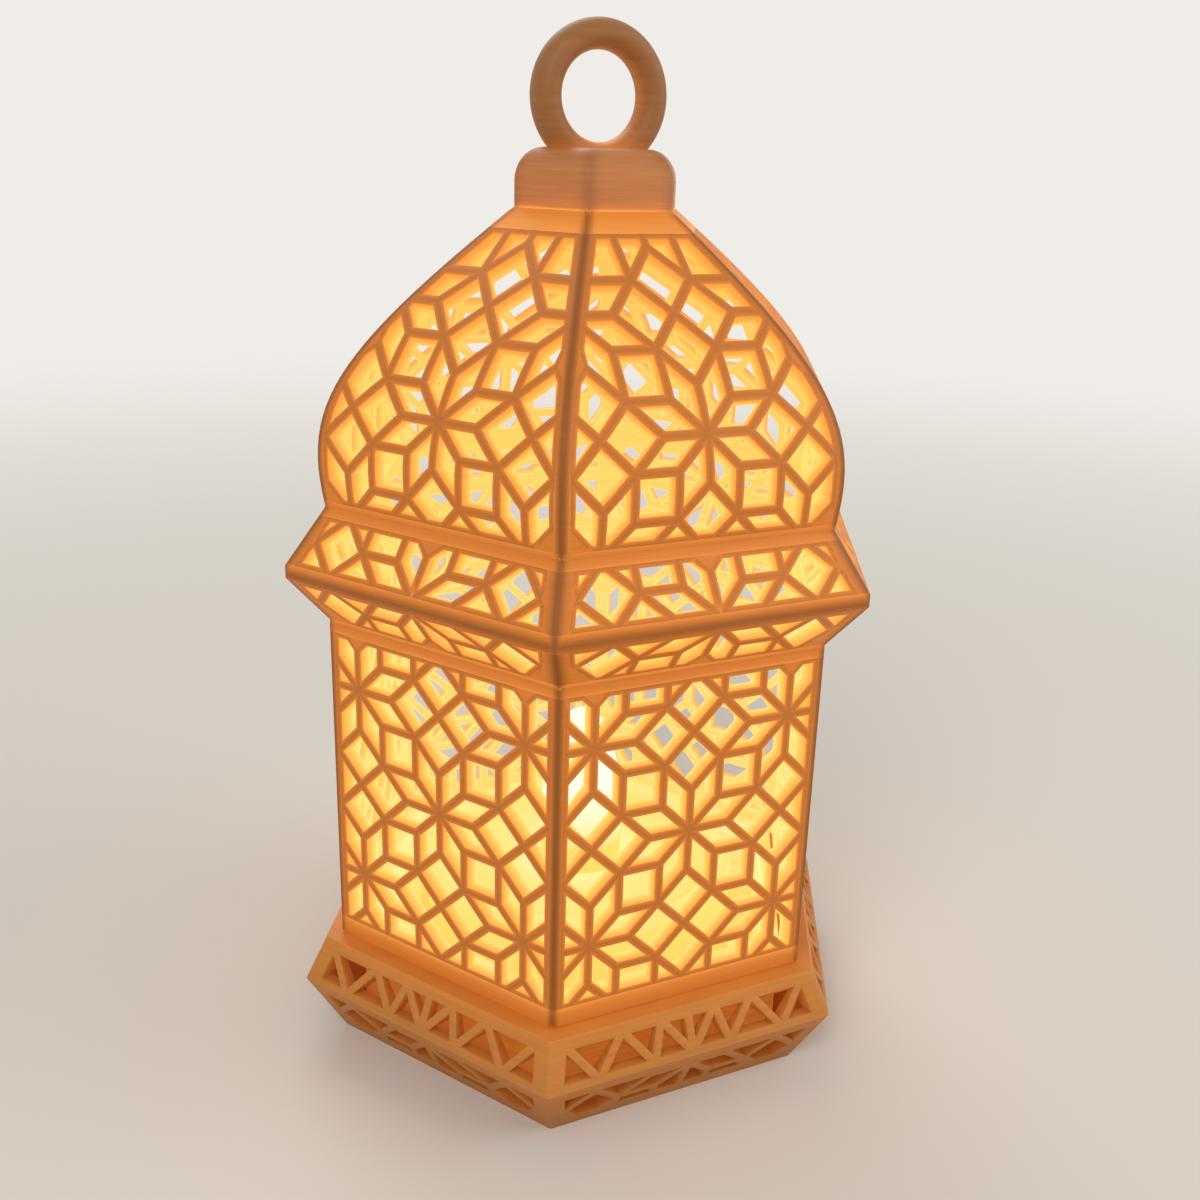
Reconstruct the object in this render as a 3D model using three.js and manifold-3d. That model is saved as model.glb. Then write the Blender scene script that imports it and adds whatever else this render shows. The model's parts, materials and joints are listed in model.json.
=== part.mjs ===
// A six-sided pierced lantern that lifts off its base, over a battery tea light.
// Millimetres, +Z up, origin on the table below the middle. One flat side faces -Y.
import * as THREE from "three";
import { mergeVertices } from "three/addons/utils/BufferGeometryUtils.js";
import Module from "manifold-3d";

// Lantern: heights above the table, and radii from the axis to a corner
const cornerRadius = 30; // of the upright sides, and so the width of one side
const ridgeReach = 4.4; // of the ridges of the base and the skirt, past the sides
const ledgeReach = 1.8;
const bellyReach = 2;
const shoulderInset = 1;
const ridgeRadius = cornerRadius + ridgeReach;
const ledgeRadius = cornerRadius + ledgeReach;
const capRadius = 9.4;
const baseRidgeHeight = 7.4;
const ledgeHeight = 12.4;
const bodyTop = 50.4;
const skirtRidgeHeight = 55.8;
const skirtRidgeFlat = 1.3;
const skirtTop = 62.9;
const domeTop = 92.6;
const domeBelly = [cornerRadius + bellyReach, 73.4]; // the two points that pull the dome's outline out
const domeShoulder = [cornerRadius - shoulderInset, 78.2];
const capSide = 2.3; // upright part of the cap, below its rounded shoulder
const capShoulder = 3.3;
const wall = 1.5;
const seam = 0.3; // gap between two pieces that meet

// Pattern: eight-rayed stars of rhombi and squares, all with edges of one length
const patternEdge = 4.59;
const strut = 1;
const sideFrame = 1.1; // plain border beside a corner
const bodyFrameTop = 1.5;
const bodyFrameBottom = 2.9;
const bodyStarHeight = 20.1; // above the ledge
const bandCorner = 1.8; // beside the corners of a sloping band
const skirtFrameRidge = 0.8;
const skirtFrameBottom = 0.8;
const skirtFrameTop = 1.4;
const baseFrameRidge = 0.8;
const baseFrameTop = 1.4;
const baseFrameBelow = 1.9; // above and below the openings under the ridge
const domeFrameBottom = 1.3;
const domeFrameTop = 2.4;
const domeStarHeight = 10.8; // above the skirt
const domeTilt = 8 * Math.PI / 180; // the pattern's plane leans back by this
const domeRows = 8;
const smallestHole = 2; // square millimetres, smaller ones are left closed
const flatEnough = 0.5; // rise to run of a sheet that ends in an upright edge

// Base cup, which holds the light and guides the shell
const cupLip = 2; // above the ledge
const cupFloor = 1.2;
const floorHoleRadius = 14.5;
const collarHeight = 3;
const collarWall = 1.2;

// Hanging ring
const ringRadius = 5.95;
const ringThickness = 3.05;
const ringWidth = 4; // along its axis
const ringCentreHeight = 10.9; // above the dome

// Tea light
const lightRadius = 18.5;
const lightHeight = 16;
const lightWall = 1;
const lightRim = 1.5;
const lightEdge = 0.5;
const dishDepth = 1.2;
const flameRadius = 4.8;
const flameHeight = 19.2;
const flameWall = 0.8;
const flameBulge = 0.12;
const flangeRadius = 6.2;
const flangeThickness = 1;
const ledRadius = 2.5;
const ledRim = 0.4;
const ledHeight = 7;
const leadThickness = 0.5;
const leadSpread = 1.27; // each lead from the middle
const coverThickness = 1.6;
const cellRadius = 10;
const cellHeight = 3.2;
const cellOffset = -2; // of the coin cell from the axis, along X
const wellWall = 1; // round the coin cell
const doorRadius = 11.2;
const doorThickness = 1.2;
const doorSlot = [9, 1.4, 1]; // for a coin, half its height is in the door
const contactThickness = 0.4;
const contactWidth = 3;
const springTongue = 2.5;
const switchSize = [4, 8, 3];
const knobSize = [2.2, 3, 1];
const knobTravel = 2;
const knobPlace = 12.1; // from the axis, along X
const screwRadius = 0.9;
const screwLength = 5;
const screwHeadRadius = 1.7;
const screwHeadHeight = 0.8;
const bossRadius = 2.2;

const sides = 6;
const halfTurn = Math.PI / sides;
const toFlat = Math.cos(halfTurn); // corner radius to flat radius

// Straight pieces round a circle
const large = 24;
const medium = 16;
const small = 10;

const wasm = await Module();
wasm.setup();

// Closed meshes

function bare(geometry) {
  const plain = new THREE.BufferGeometry();
  plain.setAttribute("position", geometry.getAttribute("position").clone());
  if (geometry.index) plain.setIndex(geometry.index.clone());
  const merged = mergeVertices(plain, 1e-4);
  const kept = [];
  const index = merged.index.array;
  for (let i = 0; i < index.length; i += 3) {
    const [a, b, c] = index.subarray(i, i + 3);
    if (a !== b && b !== c && c !== a) kept.push(a, b, c);
  }
  merged.setIndex(kept);
  return volume(merged) < 0 ? flipped(merged) : merged;
}

function volume(geometry) {
  const [a, b, c] = [new THREE.Vector3(), new THREE.Vector3(), new THREE.Vector3()];
  const position = geometry.getAttribute("position");
  const index = geometry.index.array;
  let sum = 0;
  for (let i = 0; i < index.length; i += 3) {
    a.fromBufferAttribute(position, index[i]);
    b.fromBufferAttribute(position, index[i + 1]);
    c.fromBufferAttribute(position, index[i + 2]);
    sum += a.dot(b.cross(c)) / 6;
  }
  return sum;
}

function flipped(geometry) {
  geometry.setIndex(Array.from(geometry.index.array).reverse());
  return geometry;
}

function toSolid(geometry) {
  const closed = bare(geometry);
  return new wasm.Manifold(new wasm.Mesh({
    numProp: 3,
    vertProperties: new Float32Array(closed.getAttribute("position").array),
    triVerts: new Uint32Array(closed.index.array),
  }));
}

function fromSolid(solid) {
  const mesh = solid.getMesh();
  const geometry = new THREE.BufferGeometry();
  geometry.setAttribute("position", new THREE.BufferAttribute(mesh.vertProperties, 3));
  geometry.setIndex(new THREE.BufferAttribute(mesh.triVerts, 1));
  return geometry;
}

function cut(geometry, tools) {
  return fromSolid(tools.reduce((rest, tool) => rest.subtract(toSolid(tool)), toSolid(geometry)));
}

function join(geometry, others) {
  return fromSolid(others.reduce((rest, other) => rest.add(toSolid(other)), toSolid(geometry)));
}

// A turned shape about Z, from [radius, height] pairs; six segments make a hexagon
function turned(profile, segments = large) {
  const points = profile.map(([radius, height]) => new THREE.Vector2(radius, height));
  const start = segments === sides ? halfTurn : 0;
  return bare(new THREE.LatheGeometry(points, segments, start).rotateX(Math.PI / 2));
}

function disc(radius, low, high, x = 0, y = 0, segments = large) {
  const geometry = new THREE.CylinderGeometry(radius, radius, high - low, segments);
  return geometry.rotateX(Math.PI / 2).translate(x, y, (low + high) / 2);
}

function block([width, depth, height], x, y, low) {
  return new THREE.BoxGeometry(width, depth, height).translate(x, y, low + height / 2);
}

// Pierced sheets. A panel is drawn flat, as points [across, along], and then wrapped
// onto one side of the lantern: each point has a place on the outer and the inner face.

const cross = (a, b, p) => (b[0] - a[0]) * (p[1] - a[1]) - (b[1] - a[1]) * (p[0] - a[0]);

// What lies left of the line from a to b, moved in by an inset
function clip(polygon, a, b, inset) {
  const length = Math.hypot(b[0] - a[0], b[1] - a[1]);
  const depth = polygon.map((p) => cross(a, b, p) / length - inset);
  const kept = [];
  polygon.forEach((p, i) => {
    const next = (i + 1) % polygon.length;
    const q = polygon[next];
    if (depth[i] >= 0) kept.push(p);
    if (depth[i] * depth[next] < 0) {
      const t = depth[i] / (depth[i] - depth[next]);
      kept.push([p[0] + (q[0] - p[0]) * t, p[1] + (q[1] - p[1]) * t]);
    }
  });
  return kept.filter((p, i) => {
    const q = kept[(i + 1) % kept.length];
    return Math.hypot(p[0] - q[0], p[1] - q[1]) > 0.01;
  });
}

function within(region, cell, inset) {
  return cell.reduce((rest, a, i) => {
    const b = cell[(i + 1) % cell.length];
    return rest.length > 2 ? clip(rest, a, b, inset) : rest;
  }, region);
}

function area(polygon) {
  return THREE.ShapeUtils.area(polygon.map(([x, y]) => new THREE.Vector2(x, y)));
}

// The tiles of the star pattern over a region, one star's centre at height `star`
function starTiles(star, reach) {
  const ray = (k) => [Math.cos(k * Math.PI / 4), Math.sin(k * Math.PI / 4)];
  const period = 2 + 2 * Math.SQRT2;
  const count = Math.ceil(reach / (period * patternEdge)) + 1;
  const tiles = [];
  const addTile = (centre, start, first, second) => {
    const add = (...steps) => steps.reduce(([x, y], [dx, dy]) => [x + dx, y + dy], centre);
    const corners = [add(start), add(start, first), add(start, first, second), add(start, second)];
    tiles.push(corners.map(([x, y]) => [x * patternEdge, y * patternEdge + star]));
  };
  for (let i = -count; i <= count; i++) {
    for (let j = -count; j <= count; j++) {
      for (const shift of [0, 0.5]) {
        const centre = [(i + shift) * period, (j + shift) * period];
        for (let k = 0; k < 8; k++) addTile(centre, [0, 0], ray(k), ray(k + 1));
        addTile(centre, ray(1), ray(0), ray(2));
        addTile(centre, ray(3), ray(2), ray(4));
        const middle = [(i + shift) * period, (j + 0.5 - shift) * period];
        for (let k = 1; k < 8; k += 2) addTile(middle, [0, 0], ray(k), ray(k + 2));
      }
    }
  }
  return tiles;
}

const isHole = (polygon) => polygon.length > 2 && area(polygon) > smallestHole;

function starHoles(opening, star) {
  const reach = Math.max(...opening.flat().map((v) => Math.abs(v - star)));
  return starTiles(star, reach).map((tile) => within(opening, tile, strut / 2)).filter(isHole);
}

// The base's struts: a post in the middle, then a zigzag towards each corner
function trussHoles(opening) {
  const [low, high] = [opening[0][1], opening[2][1]];
  const edge = patternEdge;
  const half = edge / Math.SQRT2;
  const feet = [0, 0, edge, edge, edge + 2 * half, edge + 2 * half];
  const heads = [0, half, half, edge + half, edge + half, edge + 3 * half];
  const holes = heads.map((head, i) => {
    const hole = clip(opening, [head, high], [feet[i], low], strut / 2);
    const last = i + 1 === heads.length;
    return last ? hole : clip(hole, [feet[i + 1], low], [heads[i + 1], high], strut / 2);
  });
  return [...holes, ...holes.map(flippedAcross)].filter(isHole);
}

const flippedAcross = (hole) => hole.map(([x, y]) => [-x, y]).reverse();
const flippedAlong = (height) => (hole) => hole.map(([x, y]) => [x, height - y]).reverse();

// Outline: [corner radius, height] pairs up the outside. The inner face is one wall in.
function makeLevels(outline) {
  const outer = outline.map(([radius, height]) => new THREE.Vector2(radius * toFlat, height));
  const inward = outer.slice(1).map((p, i) => {
    const along = p.clone().sub(outer[i]).normalize();
    return new THREE.Vector2(-along.y, along.x).multiplyScalar(wall);
  });
  return outer.map((p, i) => {
    const before = inward[i - 1];
    const after = inward[i];
    const inner = p.clone();
    if (before && after) {
      const sum = before.clone().add(after);
      inner.addScaledVector(sum, 2 * wall * wall / sum.lengthSq());
    } else {
      const normal = before ?? after;
      const upright = Math.abs(normal.x) < Math.abs(normal.y) * flatEnough;
      if (upright) inner.y += wall * wall / normal.y;
      else inner.x += wall * wall / normal.x;
    }
    return { outer: p, inner };
  });
}

// Half the width of a side at a distance from the axis, up to its seam
const halfWidth = (flatRadius) => flatRadius * Math.tan(halfTurn) - seam / 2 / toFlat;

// Turns drawn points into places on the sheet between levels whose drawn heights are `rows`
function wrap(levels, rows) {
  const find = ([, y]) => {
    let i = 0;
    while (i < rows.length - 2 && y > rows[i + 1]) i++;
    return [levels[i], levels[i + 1], (y - rows[i]) / (rows[i + 1] - rows[i])];
  };
  const outer = (point) => {
    const [below, above, t] = find(point);
    const place = below.outer.clone().lerp(above.outer, t);
    return [point[0], -place.x, place.y];
  };
  // Near the seams the inner face is drawn in, so that its edge meets the mitre
  const inner = (point) => {
    const [below, above, t] = find(point);
    const face = halfWidth(below.outer.x + (above.outer.x - below.outer.x) * t);
    const place = below.inner.clone().lerp(above.inner, t);
    const margin = Math.min(3 * wall, face / 2);
    const shrink = (face - halfWidth(place.x)) / margin;
    const past = Math.max(0, Math.abs(point[0]) - (face - margin));
    return [point[0] - Math.sign(point[0]) * past * shrink, -place.x, place.y];
  };
  return { outer, inner };
}

// The triangles of a drawn outline with holes in it
function triangulate(outline, holes) {
  const points = [outline, ...holes].flat();
  // Seen slightly bent, so that no three corners lie on one line
  const bend = 1e-4;
  const bent = ([x, y]) => new THREE.Vector2(x + bend * y * y, y + 2 * bend * x * x);
  const faces = THREE.ShapeUtils.triangulateShape(outline.map(bent), holes.map((hole) => hole.map(bent)));
  relax(faces, points);
  return faces.map((face) => face.map((i) => points[i]));
}

// Turns the edge that two triangles share wherever that makes them less thin
function relax(faces, points) {
  const angle = (at, from, to) => {
    const [o, p, q] = [points[at], points[from], points[to]];
    const dot = (p[0] - o[0]) * (q[0] - o[0]) + (p[1] - o[1]) * (q[1] - o[1]);
    return Math.abs(Math.atan2(cross(o, p, q), dot));
  };
  const turned = new Set();
  do {
    turned.clear();
    const across = new Map();
    faces.forEach((face, f) => face.forEach((a, k) => across.set(`${a} ${face[(k + 1) % 3]}`, f)));
    for (const [edge, f] of across) {
      const [a, b] = edge.split(" ").map(Number);
      const g = across.get(`${b} ${a}`);
      if (g === undefined || turned.has(f) || turned.has(g)) continue;
      const [c, d] = [f, g].map((face) => faces[face].find((i) => i !== a && i !== b));
      if (angle(c, a, b) + angle(d, a, b) < Math.PI + 1e-6) continue;
      faces[f] = [c, a, d];
      faces[g] = [c, d, b];
      turned.add(f).add(g);
    }
  } while (turned.size);
}

// Gives drawn triangles a thickness: two faces, and a wall along each free edge
function thicken(patches) {
  const outer = [];
  const inner = [];
  const faces = [];
  const known = new Map();
  for (const { triangles, places } of patches) {
    for (const triangle of triangles) {
      const face = triangle.map((point) => {
        const place = places.outer(point);
        const key = place.map((value) => Math.round(value * 1000)).join();
        if (!known.has(key)) {
          known.set(key, outer.length);
          outer.push(place);
          inner.push(places.inner(point));
        }
        return known.get(key);
      });
      if (new Set(face).size === 3) faces.push(face);
    }
  }
  const index = [];
  const free = new Map();
  for (const [a, b, c] of faces) {
    index.push(a, b, c, c + outer.length, b + outer.length, a + outer.length);
    for (const [from, to] of [[a, b], [b, c], [c, a]]) {
      if (!free.delete(`${to} ${from}`)) free.set(`${from} ${to}`, [from, to]);
    }
  }
  for (const [a, b] of free.values()) {
    index.push(b, a, a + outer.length, b, a + outer.length, b + outer.length);
  }
  const geometry = new THREE.BufferGeometry();
  const places = new Float32Array([...outer, ...inner].flat());
  geometry.setAttribute("position", new THREE.BufferAttribute(places, 3));
  geometry.setIndex(index);
  return geometry;
}

// A sheet of flat bands, one above the other; `pierce` gives a band's holes
function bandedPanel(outline, pierce) {
  const levels = makeLevels(outline);
  const patches = levels.slice(1).map((above, i) => {
    const below = levels[i];
    const height = above.outer.distanceTo(below.outer);
    const widths = [below, above].map((level) => halfWidth(level.outer.x));
    const [low, high] = widths;
    const sheet = [[-low, 0], [low, 0], [high, height], [-high, height]];
    return {
      triangles: triangulate(sheet, pierce(i, widths, height)),
      places: wrap([below, above], [0, height]),
    };
  });
  return thicken(patches);
}

// The opening in a band, `frame` in from its slanting sides
function bandOpening([low, high], height, frame, bottom, top) {
  const widthAt = (y) => low + (high - low) * y / height - frame;
  const [y0, y1] = [bottom, height - top];
  return [[-widthAt(y0), y0], [widthAt(y0), y0], [widthAt(y1), y1], [-widthAt(y1), y1]];
}

function basePanel() {
  const outline = [
    [cornerRadius, 0],
    [ridgeRadius, baseRidgeHeight],
    [ledgeRadius, ledgeHeight],
    [cupRadius + seam / toFlat, ledgeHeight],
  ];
  return bandedPanel(outline, (band, widths, height) => {
    if (band === 2) return [];
    if (band === 1) return trussHoles(bandOpening(widths, height, bandCorner, baseFrameRidge, baseFrameTop));
    const opening = bandOpening(widths.toReversed(), height, bandCorner, baseFrameBelow, baseFrameBelow);
    return starHoles(opening, baseFrameBelow).map(flippedAlong(height));
  });
}

function bodyPanel() {
  const outline = [[cornerRadius, ledgeHeight + seam], [cornerRadius, bodyTop]];
  return bandedPanel(outline, (band, widths, height) => {
    const opening = bandOpening(widths, height, sideFrame, bodyFrameBottom - seam, bodyFrameTop);
    return starHoles(opening, bodyStarHeight - seam);
  });
}

function skirtPanel() {
  const outline = [
    [cornerRadius, bodyTop + seam],
    [ridgeRadius, skirtRidgeHeight],
    [ridgeRadius, skirtRidgeHeight + skirtRidgeFlat],
    [cornerRadius, skirtTop],
  ];
  return bandedPanel(outline, (band, widths, height) => {
    if (band === 1) return [];
    if (band === 2) {
      return starHoles(bandOpening(widths, height, bandCorner, skirtFrameRidge, skirtFrameTop), 0);
    }
    const opening = bandOpening(widths.toReversed(), height, bandCorner, skirtFrameRidge, skirtFrameBottom);
    return starHoles(opening, 0).map(flippedAlong(height));
  });
}

// The dome's side follows a curve, drawn as seen square to the tilted plane of its pattern
function domePanel() {
  const ends = [[cornerRadius, skirtTop + seam], [capRadius, domeTop]];
  const pulls = [ends[0], domeBelly, domeShoulder, ends[1]];
  const curve = new THREE.CubicBezierCurve(...pulls.map(([radius, height]) => new THREE.Vector2(radius, height)));
  const levels = makeLevels(curve.getPoints(domeRows).map((point) => point.toArray()));
  const rows = levels.map(({ outer }) => outer.y * Math.cos(domeTilt) - outer.x * Math.sin(domeTilt));
  const between = (values, keys, key) => {
    const above = Math.max(1, keys.findIndex((value) => value >= key));
    const t = (key - keys[above - 1]) / (keys[above] - keys[above - 1]);
    return values[above - 1] + (values[above] - values[above - 1]) * t;
  };
  const heights = levels.map(({ outer }) => outer.y);
  const widths = levels.map(({ outer }) => halfWidth(outer.x));
  const low = between(rows, heights, skirtTop + domeFrameBottom);
  const high = between(rows, heights, domeTop - domeFrameTop);
  const region = (inset, steps) => {
    const right = steps.map((y) => [between(widths, rows, y) - inset, y]);
    return [...right, ...right.map(([x, y]) => [-x, y]).reverse()];
  };
  const steps = [low, ...rows.filter((y) => y > low && y < high), high];
  const star = between(rows, heights, skirtTop + domeStarHeight);
  const holes = starHoles(region(sideFrame, steps), star);
  return thicken([{ triangles: triangulate(region(0, rows), holes), places: wrap(levels, rows) }]);
}

// Shell top

function cap() {
  const bottom = domeTop + seam;
  const steps = 5;
  const profile = [];
  for (let i = 0; i <= steps; i++) {
    const angle = Math.PI / 2 * i / steps;
    profile.push([
      capRadius - capShoulder + capShoulder * Math.sin(angle),
      bottom + capSide + capShoulder * Math.cos(angle),
    ]);
  }
  const hollow = capRadius - wall / toFlat;
  profile.unshift([0, bottom + capSide + capShoulder]);
  profile.push([capRadius, bottom], [hollow, bottom], [hollow, bottom + wall], [0, bottom + wall]);
  return cut(turned(profile, sides), [ringAt(seam)]);
}

function ringAt(swell) {
  const across = ringThickness / 2 + swell;
  const tube = new THREE.TorusGeometry(ringRadius, across, small, large);
  tube.scale(1, 1, (ringWidth / 2 + swell) / across);
  return tube.rotateX(Math.PI / 2).translate(0, 0, domeTop + ringCentreHeight);
}

// Base cup: the six-sided wall, a round hole in its floor and a collar round the light

const cupRadius = cornerRadius - (wall + seam) / toFlat / Math.cos(Math.atan2(
  (ridgeRadius - cornerRadius) * toFlat, baseRidgeHeight));

function cup() {
  const inside = cupRadius - wall / toFlat;
  const rim = ledgeHeight + cupLip;
  const shell = turned([
    [0, 0], [cupRadius, 0], [cupRadius, rim], [inside, rim], [inside, cupFloor], [0, cupFloor],
  ], sides);
  const collar = lightRadius + seam;
  const top = cupFloor + collarHeight;
  const guide = turned([
    [collar, cupFloor / 2], [collar + collarWall, cupFloor / 2], [collar + collarWall, top],
    [collar, top], [collar, cupFloor / 2],
  ]);
  return cut(join(shell, [guide]), [disc(floorHoleRadius, -cupFloor, 2 * cupFloor)]);
}

// Tea light, from its case down to its door

const lightBottom = cupFloor + seam;
const lightTop = lightBottom + lightHeight;
const dishFloor = lightTop - dishDepth;
const flangeTop = dishFloor - lightWall - seam;
const ledBottom = flangeTop - flangeThickness;
const coverBottom = lightBottom + seam;
const coverTop = coverBottom + coverThickness;
const doorTop = coverBottom + doorThickness;
const cellBottom = doorTop + seam;
const cellTop = cellBottom + cellHeight;
const springLow = cellTop + seam;
const wellRadius = cellRadius + seam;
const wellTop = springLow + contactThickness;
const screwPlace = (wellRadius + wellWall + lightRadius - lightWall) / 2; // along Y
const stripHeight = wellTop + seam;
const screwLow = coverBottom + seam / 2;

const atScrews = (makeTool) => [-1, 1].map((end) => makeTool(end * screwPlace));

function lightCase() {
  const inside = lightRadius - lightWall;
  const flameHole = flameRadius + seam;
  const under = dishFloor - lightWall;
  const dishRadius = lightRadius - lightRim - dishDepth;
  const shell = turned([
    [lightRadius, lightBottom], [lightRadius, lightTop - lightEdge], [lightRadius - lightEdge, lightTop],
    [lightRadius - lightRim, lightTop], [dishRadius, dishFloor], [flameHole, dishFloor],
    [flameHole, under], [inside - dishDepth, under], [inside, under - dishDepth],
    [inside, lightBottom], [lightRadius, lightBottom],
  ]);
  const bosses = atScrews((y) => disc(bossRadius, coverTop + seam, dishFloor - lightWall / 2, 0, y, small));
  const boreTop = screwLow + screwHeadHeight + screwLength + screwRadius + seam;
  const bores = atScrews((y) => disc(screwRadius + seam / 2, coverTop, boreTop, 0, y, small));
  return cut(join(shell, bosses), bores);
}

// A hollow flame, whose flange sits under the case's top and holds the lamp
function flame() {
  const steps = 6;
  const outside = [];
  const inside = [];
  for (let i = 0; i <= steps; i++) {
    const angle = Math.PI / 2 * i / steps;
    const swell = Math.cos(angle) ** 0.75 * (1 + flameBulge * Math.sin(2 * angle));
    const rise = Math.sin(angle) ** 1.25;
    outside.push([flameRadius * swell, dishFloor + flameHeight * rise]);
    inside.unshift([(flameRadius - flameWall) * swell, dishFloor + (flameHeight - flameWall) * rise]);
  }
  const seat = ledRadius + ledRim + seam;
  const bore = flameRadius - flameWall;
  return turned([
    ...inside, [bore, flangeTop], [seat, flangeTop], [seat, ledBottom], [flangeRadius, ledBottom],
    [flangeRadius, flangeTop], [flameRadius, flangeTop], ...outside,
  ], medium);
}

function led() {
  const steps = 3;
  const rim = ledRadius + ledRim;
  const profile = [[0, ledBottom], [rim, ledBottom], [rim, flangeTop], [ledRadius, flangeTop]];
  const shoulder = ledBottom + ledHeight - ledRadius;
  for (let i = 0; i <= steps; i++) {
    const angle = Math.PI / 2 * i / steps;
    profile.push([ledRadius * Math.cos(angle), shoulder + ledRadius * Math.sin(angle)]);
  }
  return turned(profile, small);
}

// A lead of the lamp, down to the strip of metal whose lower side is at a height
function lead(x, onto) {
  const low = onto + contactThickness + seam;
  return block([leadThickness, leadThickness, ledBottom - seam - low], x, 0, low);
}

// A strip of metal whose lower side follows a line of [x, z] points
function strip(line) {
  const points = line.map(([x, z]) => new THREE.Vector2(x, z));
  const upper = points.map((p, i) => {
    const along = (points[i + 1] ?? p).clone().sub(points[i - 1] ?? p).normalize();
    return new THREE.Vector2(p.x - along.y * contactThickness, p.y + along.x * contactThickness);
  });
  const shape = new THREE.Shape([...points, ...upper.reverse()]);
  const geometry = new THREE.ExtrudeGeometry(shape, { depth: contactWidth, bevelEnabled: false });
  return geometry.rotateX(Math.PI / 2).translate(0, contactWidth / 2, 0);
}

// From the cell's middle to the well's rim
function springContact() {
  const rise = stripHeight - springLow;
  const start = leadSpread - leadThickness;
  const heel = start + springTongue;
  return strip([
    [start, springLow], [heel, springLow], [heel + 2 * rise, stripHeight],
    [cellOffset + wellRadius + wellWall, stripHeight],
  ]);
}

// From the cell's edge over the well's rim to the lamp
function clipContact() {
  const side = cellOffset - cellRadius - seam;
  return strip([[side, coverTop + seam], [side, stripHeight], [leadThickness - leadSpread, stripHeight]]);
}

function cover() {
  const plate = disc(lightRadius - lightWall - seam, coverBottom, coverTop);
  const root = (coverBottom + coverTop) / 2;
  const wellOutside = wellRadius + wellWall;
  const well = turned([
    [wellRadius, root], [wellOutside, root], [wellOutside, wellTop], [wellRadius, wellTop],
    [wellRadius, root],
  ]).translate(cellOffset, 0, 0);
  const below = coverBottom - coverThickness;
  const above = coverTop + coverThickness;
  const headTop = screwLow + screwHeadHeight + seam / 2;
  const [knobWidth, knobLength] = knobSize;
  const knobWay = [knobWidth + 2 * seam, knobLength + knobTravel + 2 * seam, above - below];
  const clipWay = [wellWall + 2 * contactThickness + seam, contactWidth + 2 * seam, wellTop];
  return cut(join(plate, [well]), [
    disc(doorRadius + seam, below, doorTop + seam / 2, cellOffset, 0),
    disc(wellRadius, below, above, cellOffset, 0),
    block(knobWay, knobPlace, knobTravel / 2, below),
    block(clipWay, cellOffset - wellOutside, 0, coverTop),
    ...atScrews((y) => disc(screwHeadRadius + seam / 2, below, headTop, 0, y, small)),
    ...atScrews((y) => disc(screwRadius + seam / 2, below, above, 0, y, small)),
  ]);
}

function door() {
  const [, , slotDepth] = doorSlot;
  const slot = block(doorSlot, cellOffset, 0, coverBottom).translate(0, 0, -slotDepth / 2);
  return cut(disc(doorRadius, coverBottom, doorTop, cellOffset, 0), [slot]);
}

function screw(y) {
  const shoulder = screwLow + screwHeadHeight;
  const tip = shoulder + screwLength;
  return turned([
    [0, screwLow], [screwHeadRadius, screwLow], [screwHeadRadius, shoulder], [screwRadius, shoulder],
    [screwRadius, tip], [0, tip + screwRadius],
  ], small).translate(0, y, 0);
}

function knob() {
  const [width, length, standOut] = knobSize;
  const low = coverBottom - standOut;
  return block([width, length, coverTop - low], knobPlace, 0, low);
}

// Colours

const plastic = (color, roughness = 0.5) =>
  new THREE.MeshStandardMaterial({ color, roughness, metalness: 0 });
const metal = (color, roughness = 0.35) =>
  new THREE.MeshStandardMaterial({ color, roughness, metalness: 1 });

const shellPlastic = plastic(0xf2dcb8, 0.55);
const lightPlastic = plastic(0xf4f1ea, 0.45);
const flamePlastic = plastic(0xfff0c8, 0.6);
const ledResin = plastic(0xffd27a, 0.15);
const darkPlastic = plastic(0x2a2a2c, 0.5);
const steel = metal(0xb9bcc0);
const brass = metal(0xc9a65a);

// Assembly

const lantern = new THREE.Group();

function place(parent, name, geometry, material) {
  const mesh = new THREE.Mesh(bare(geometry), material);
  mesh.name = name;
  parent.add(mesh);
}

const base = new THREE.Group();
const shell = new THREE.Group();
const light = new THREE.Group();
lantern.add(base, shell, light);

place(base, "base_cup", cup(), shellPlastic);

const panelKinds = [
  ["base_panel", base, basePanel()],
  ["body_panel", shell, bodyPanel()],
  ["skirt_panel", shell, skirtPanel()],
  ["dome_panel", shell, domePanel()],
];
for (const [name, parent, geometry] of panelKinds) {
  for (let side = 0; side < sides; side++) {
    const turn = new THREE.Group();
    turn.rotation.z = 2 * halfTurn * side;
    parent.add(turn);
    place(turn, `${name}_${side + 1}`, geometry, shellPlastic);
  }
}
place(shell, "cap", cap(), shellPlastic);
place(shell, "hanging_ring", ringAt(0), shellPlastic);

place(light, "light_case", lightCase(), lightPlastic);
place(light, "flame_diffuser", flame(), flamePlastic);
place(light, "led_lamp", led(), ledResin);
place(light, "led_lead_positive", lead(-leadSpread, stripHeight), steel);
place(light, "led_lead_negative", lead(leadSpread, springLow), steel);
place(light, "contact_clip", clipContact(), brass);
place(light, "contact_spring", springContact(), brass);
place(light, "coin_cell", disc(cellRadius, cellBottom, cellTop, cellOffset, 0), steel);
place(light, "bottom_cover", cover(), lightPlastic);
place(light, "battery_door", door(), lightPlastic);
place(light, "switch_housing", block(switchSize, knobPlace, knobTravel / 2, coverTop + seam), darkPlastic);
place(light, "switch_knob", knob(), darkPlastic);
place(light, "cover_screw_1", screw(-screwPlace), steel);
place(light, "cover_screw_2", screw(screwPlace), steel);

export default lantern;
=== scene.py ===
import json
import math

import bmesh
import bpy
import numpy as np
from mathutils import Matrix, Vector


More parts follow.
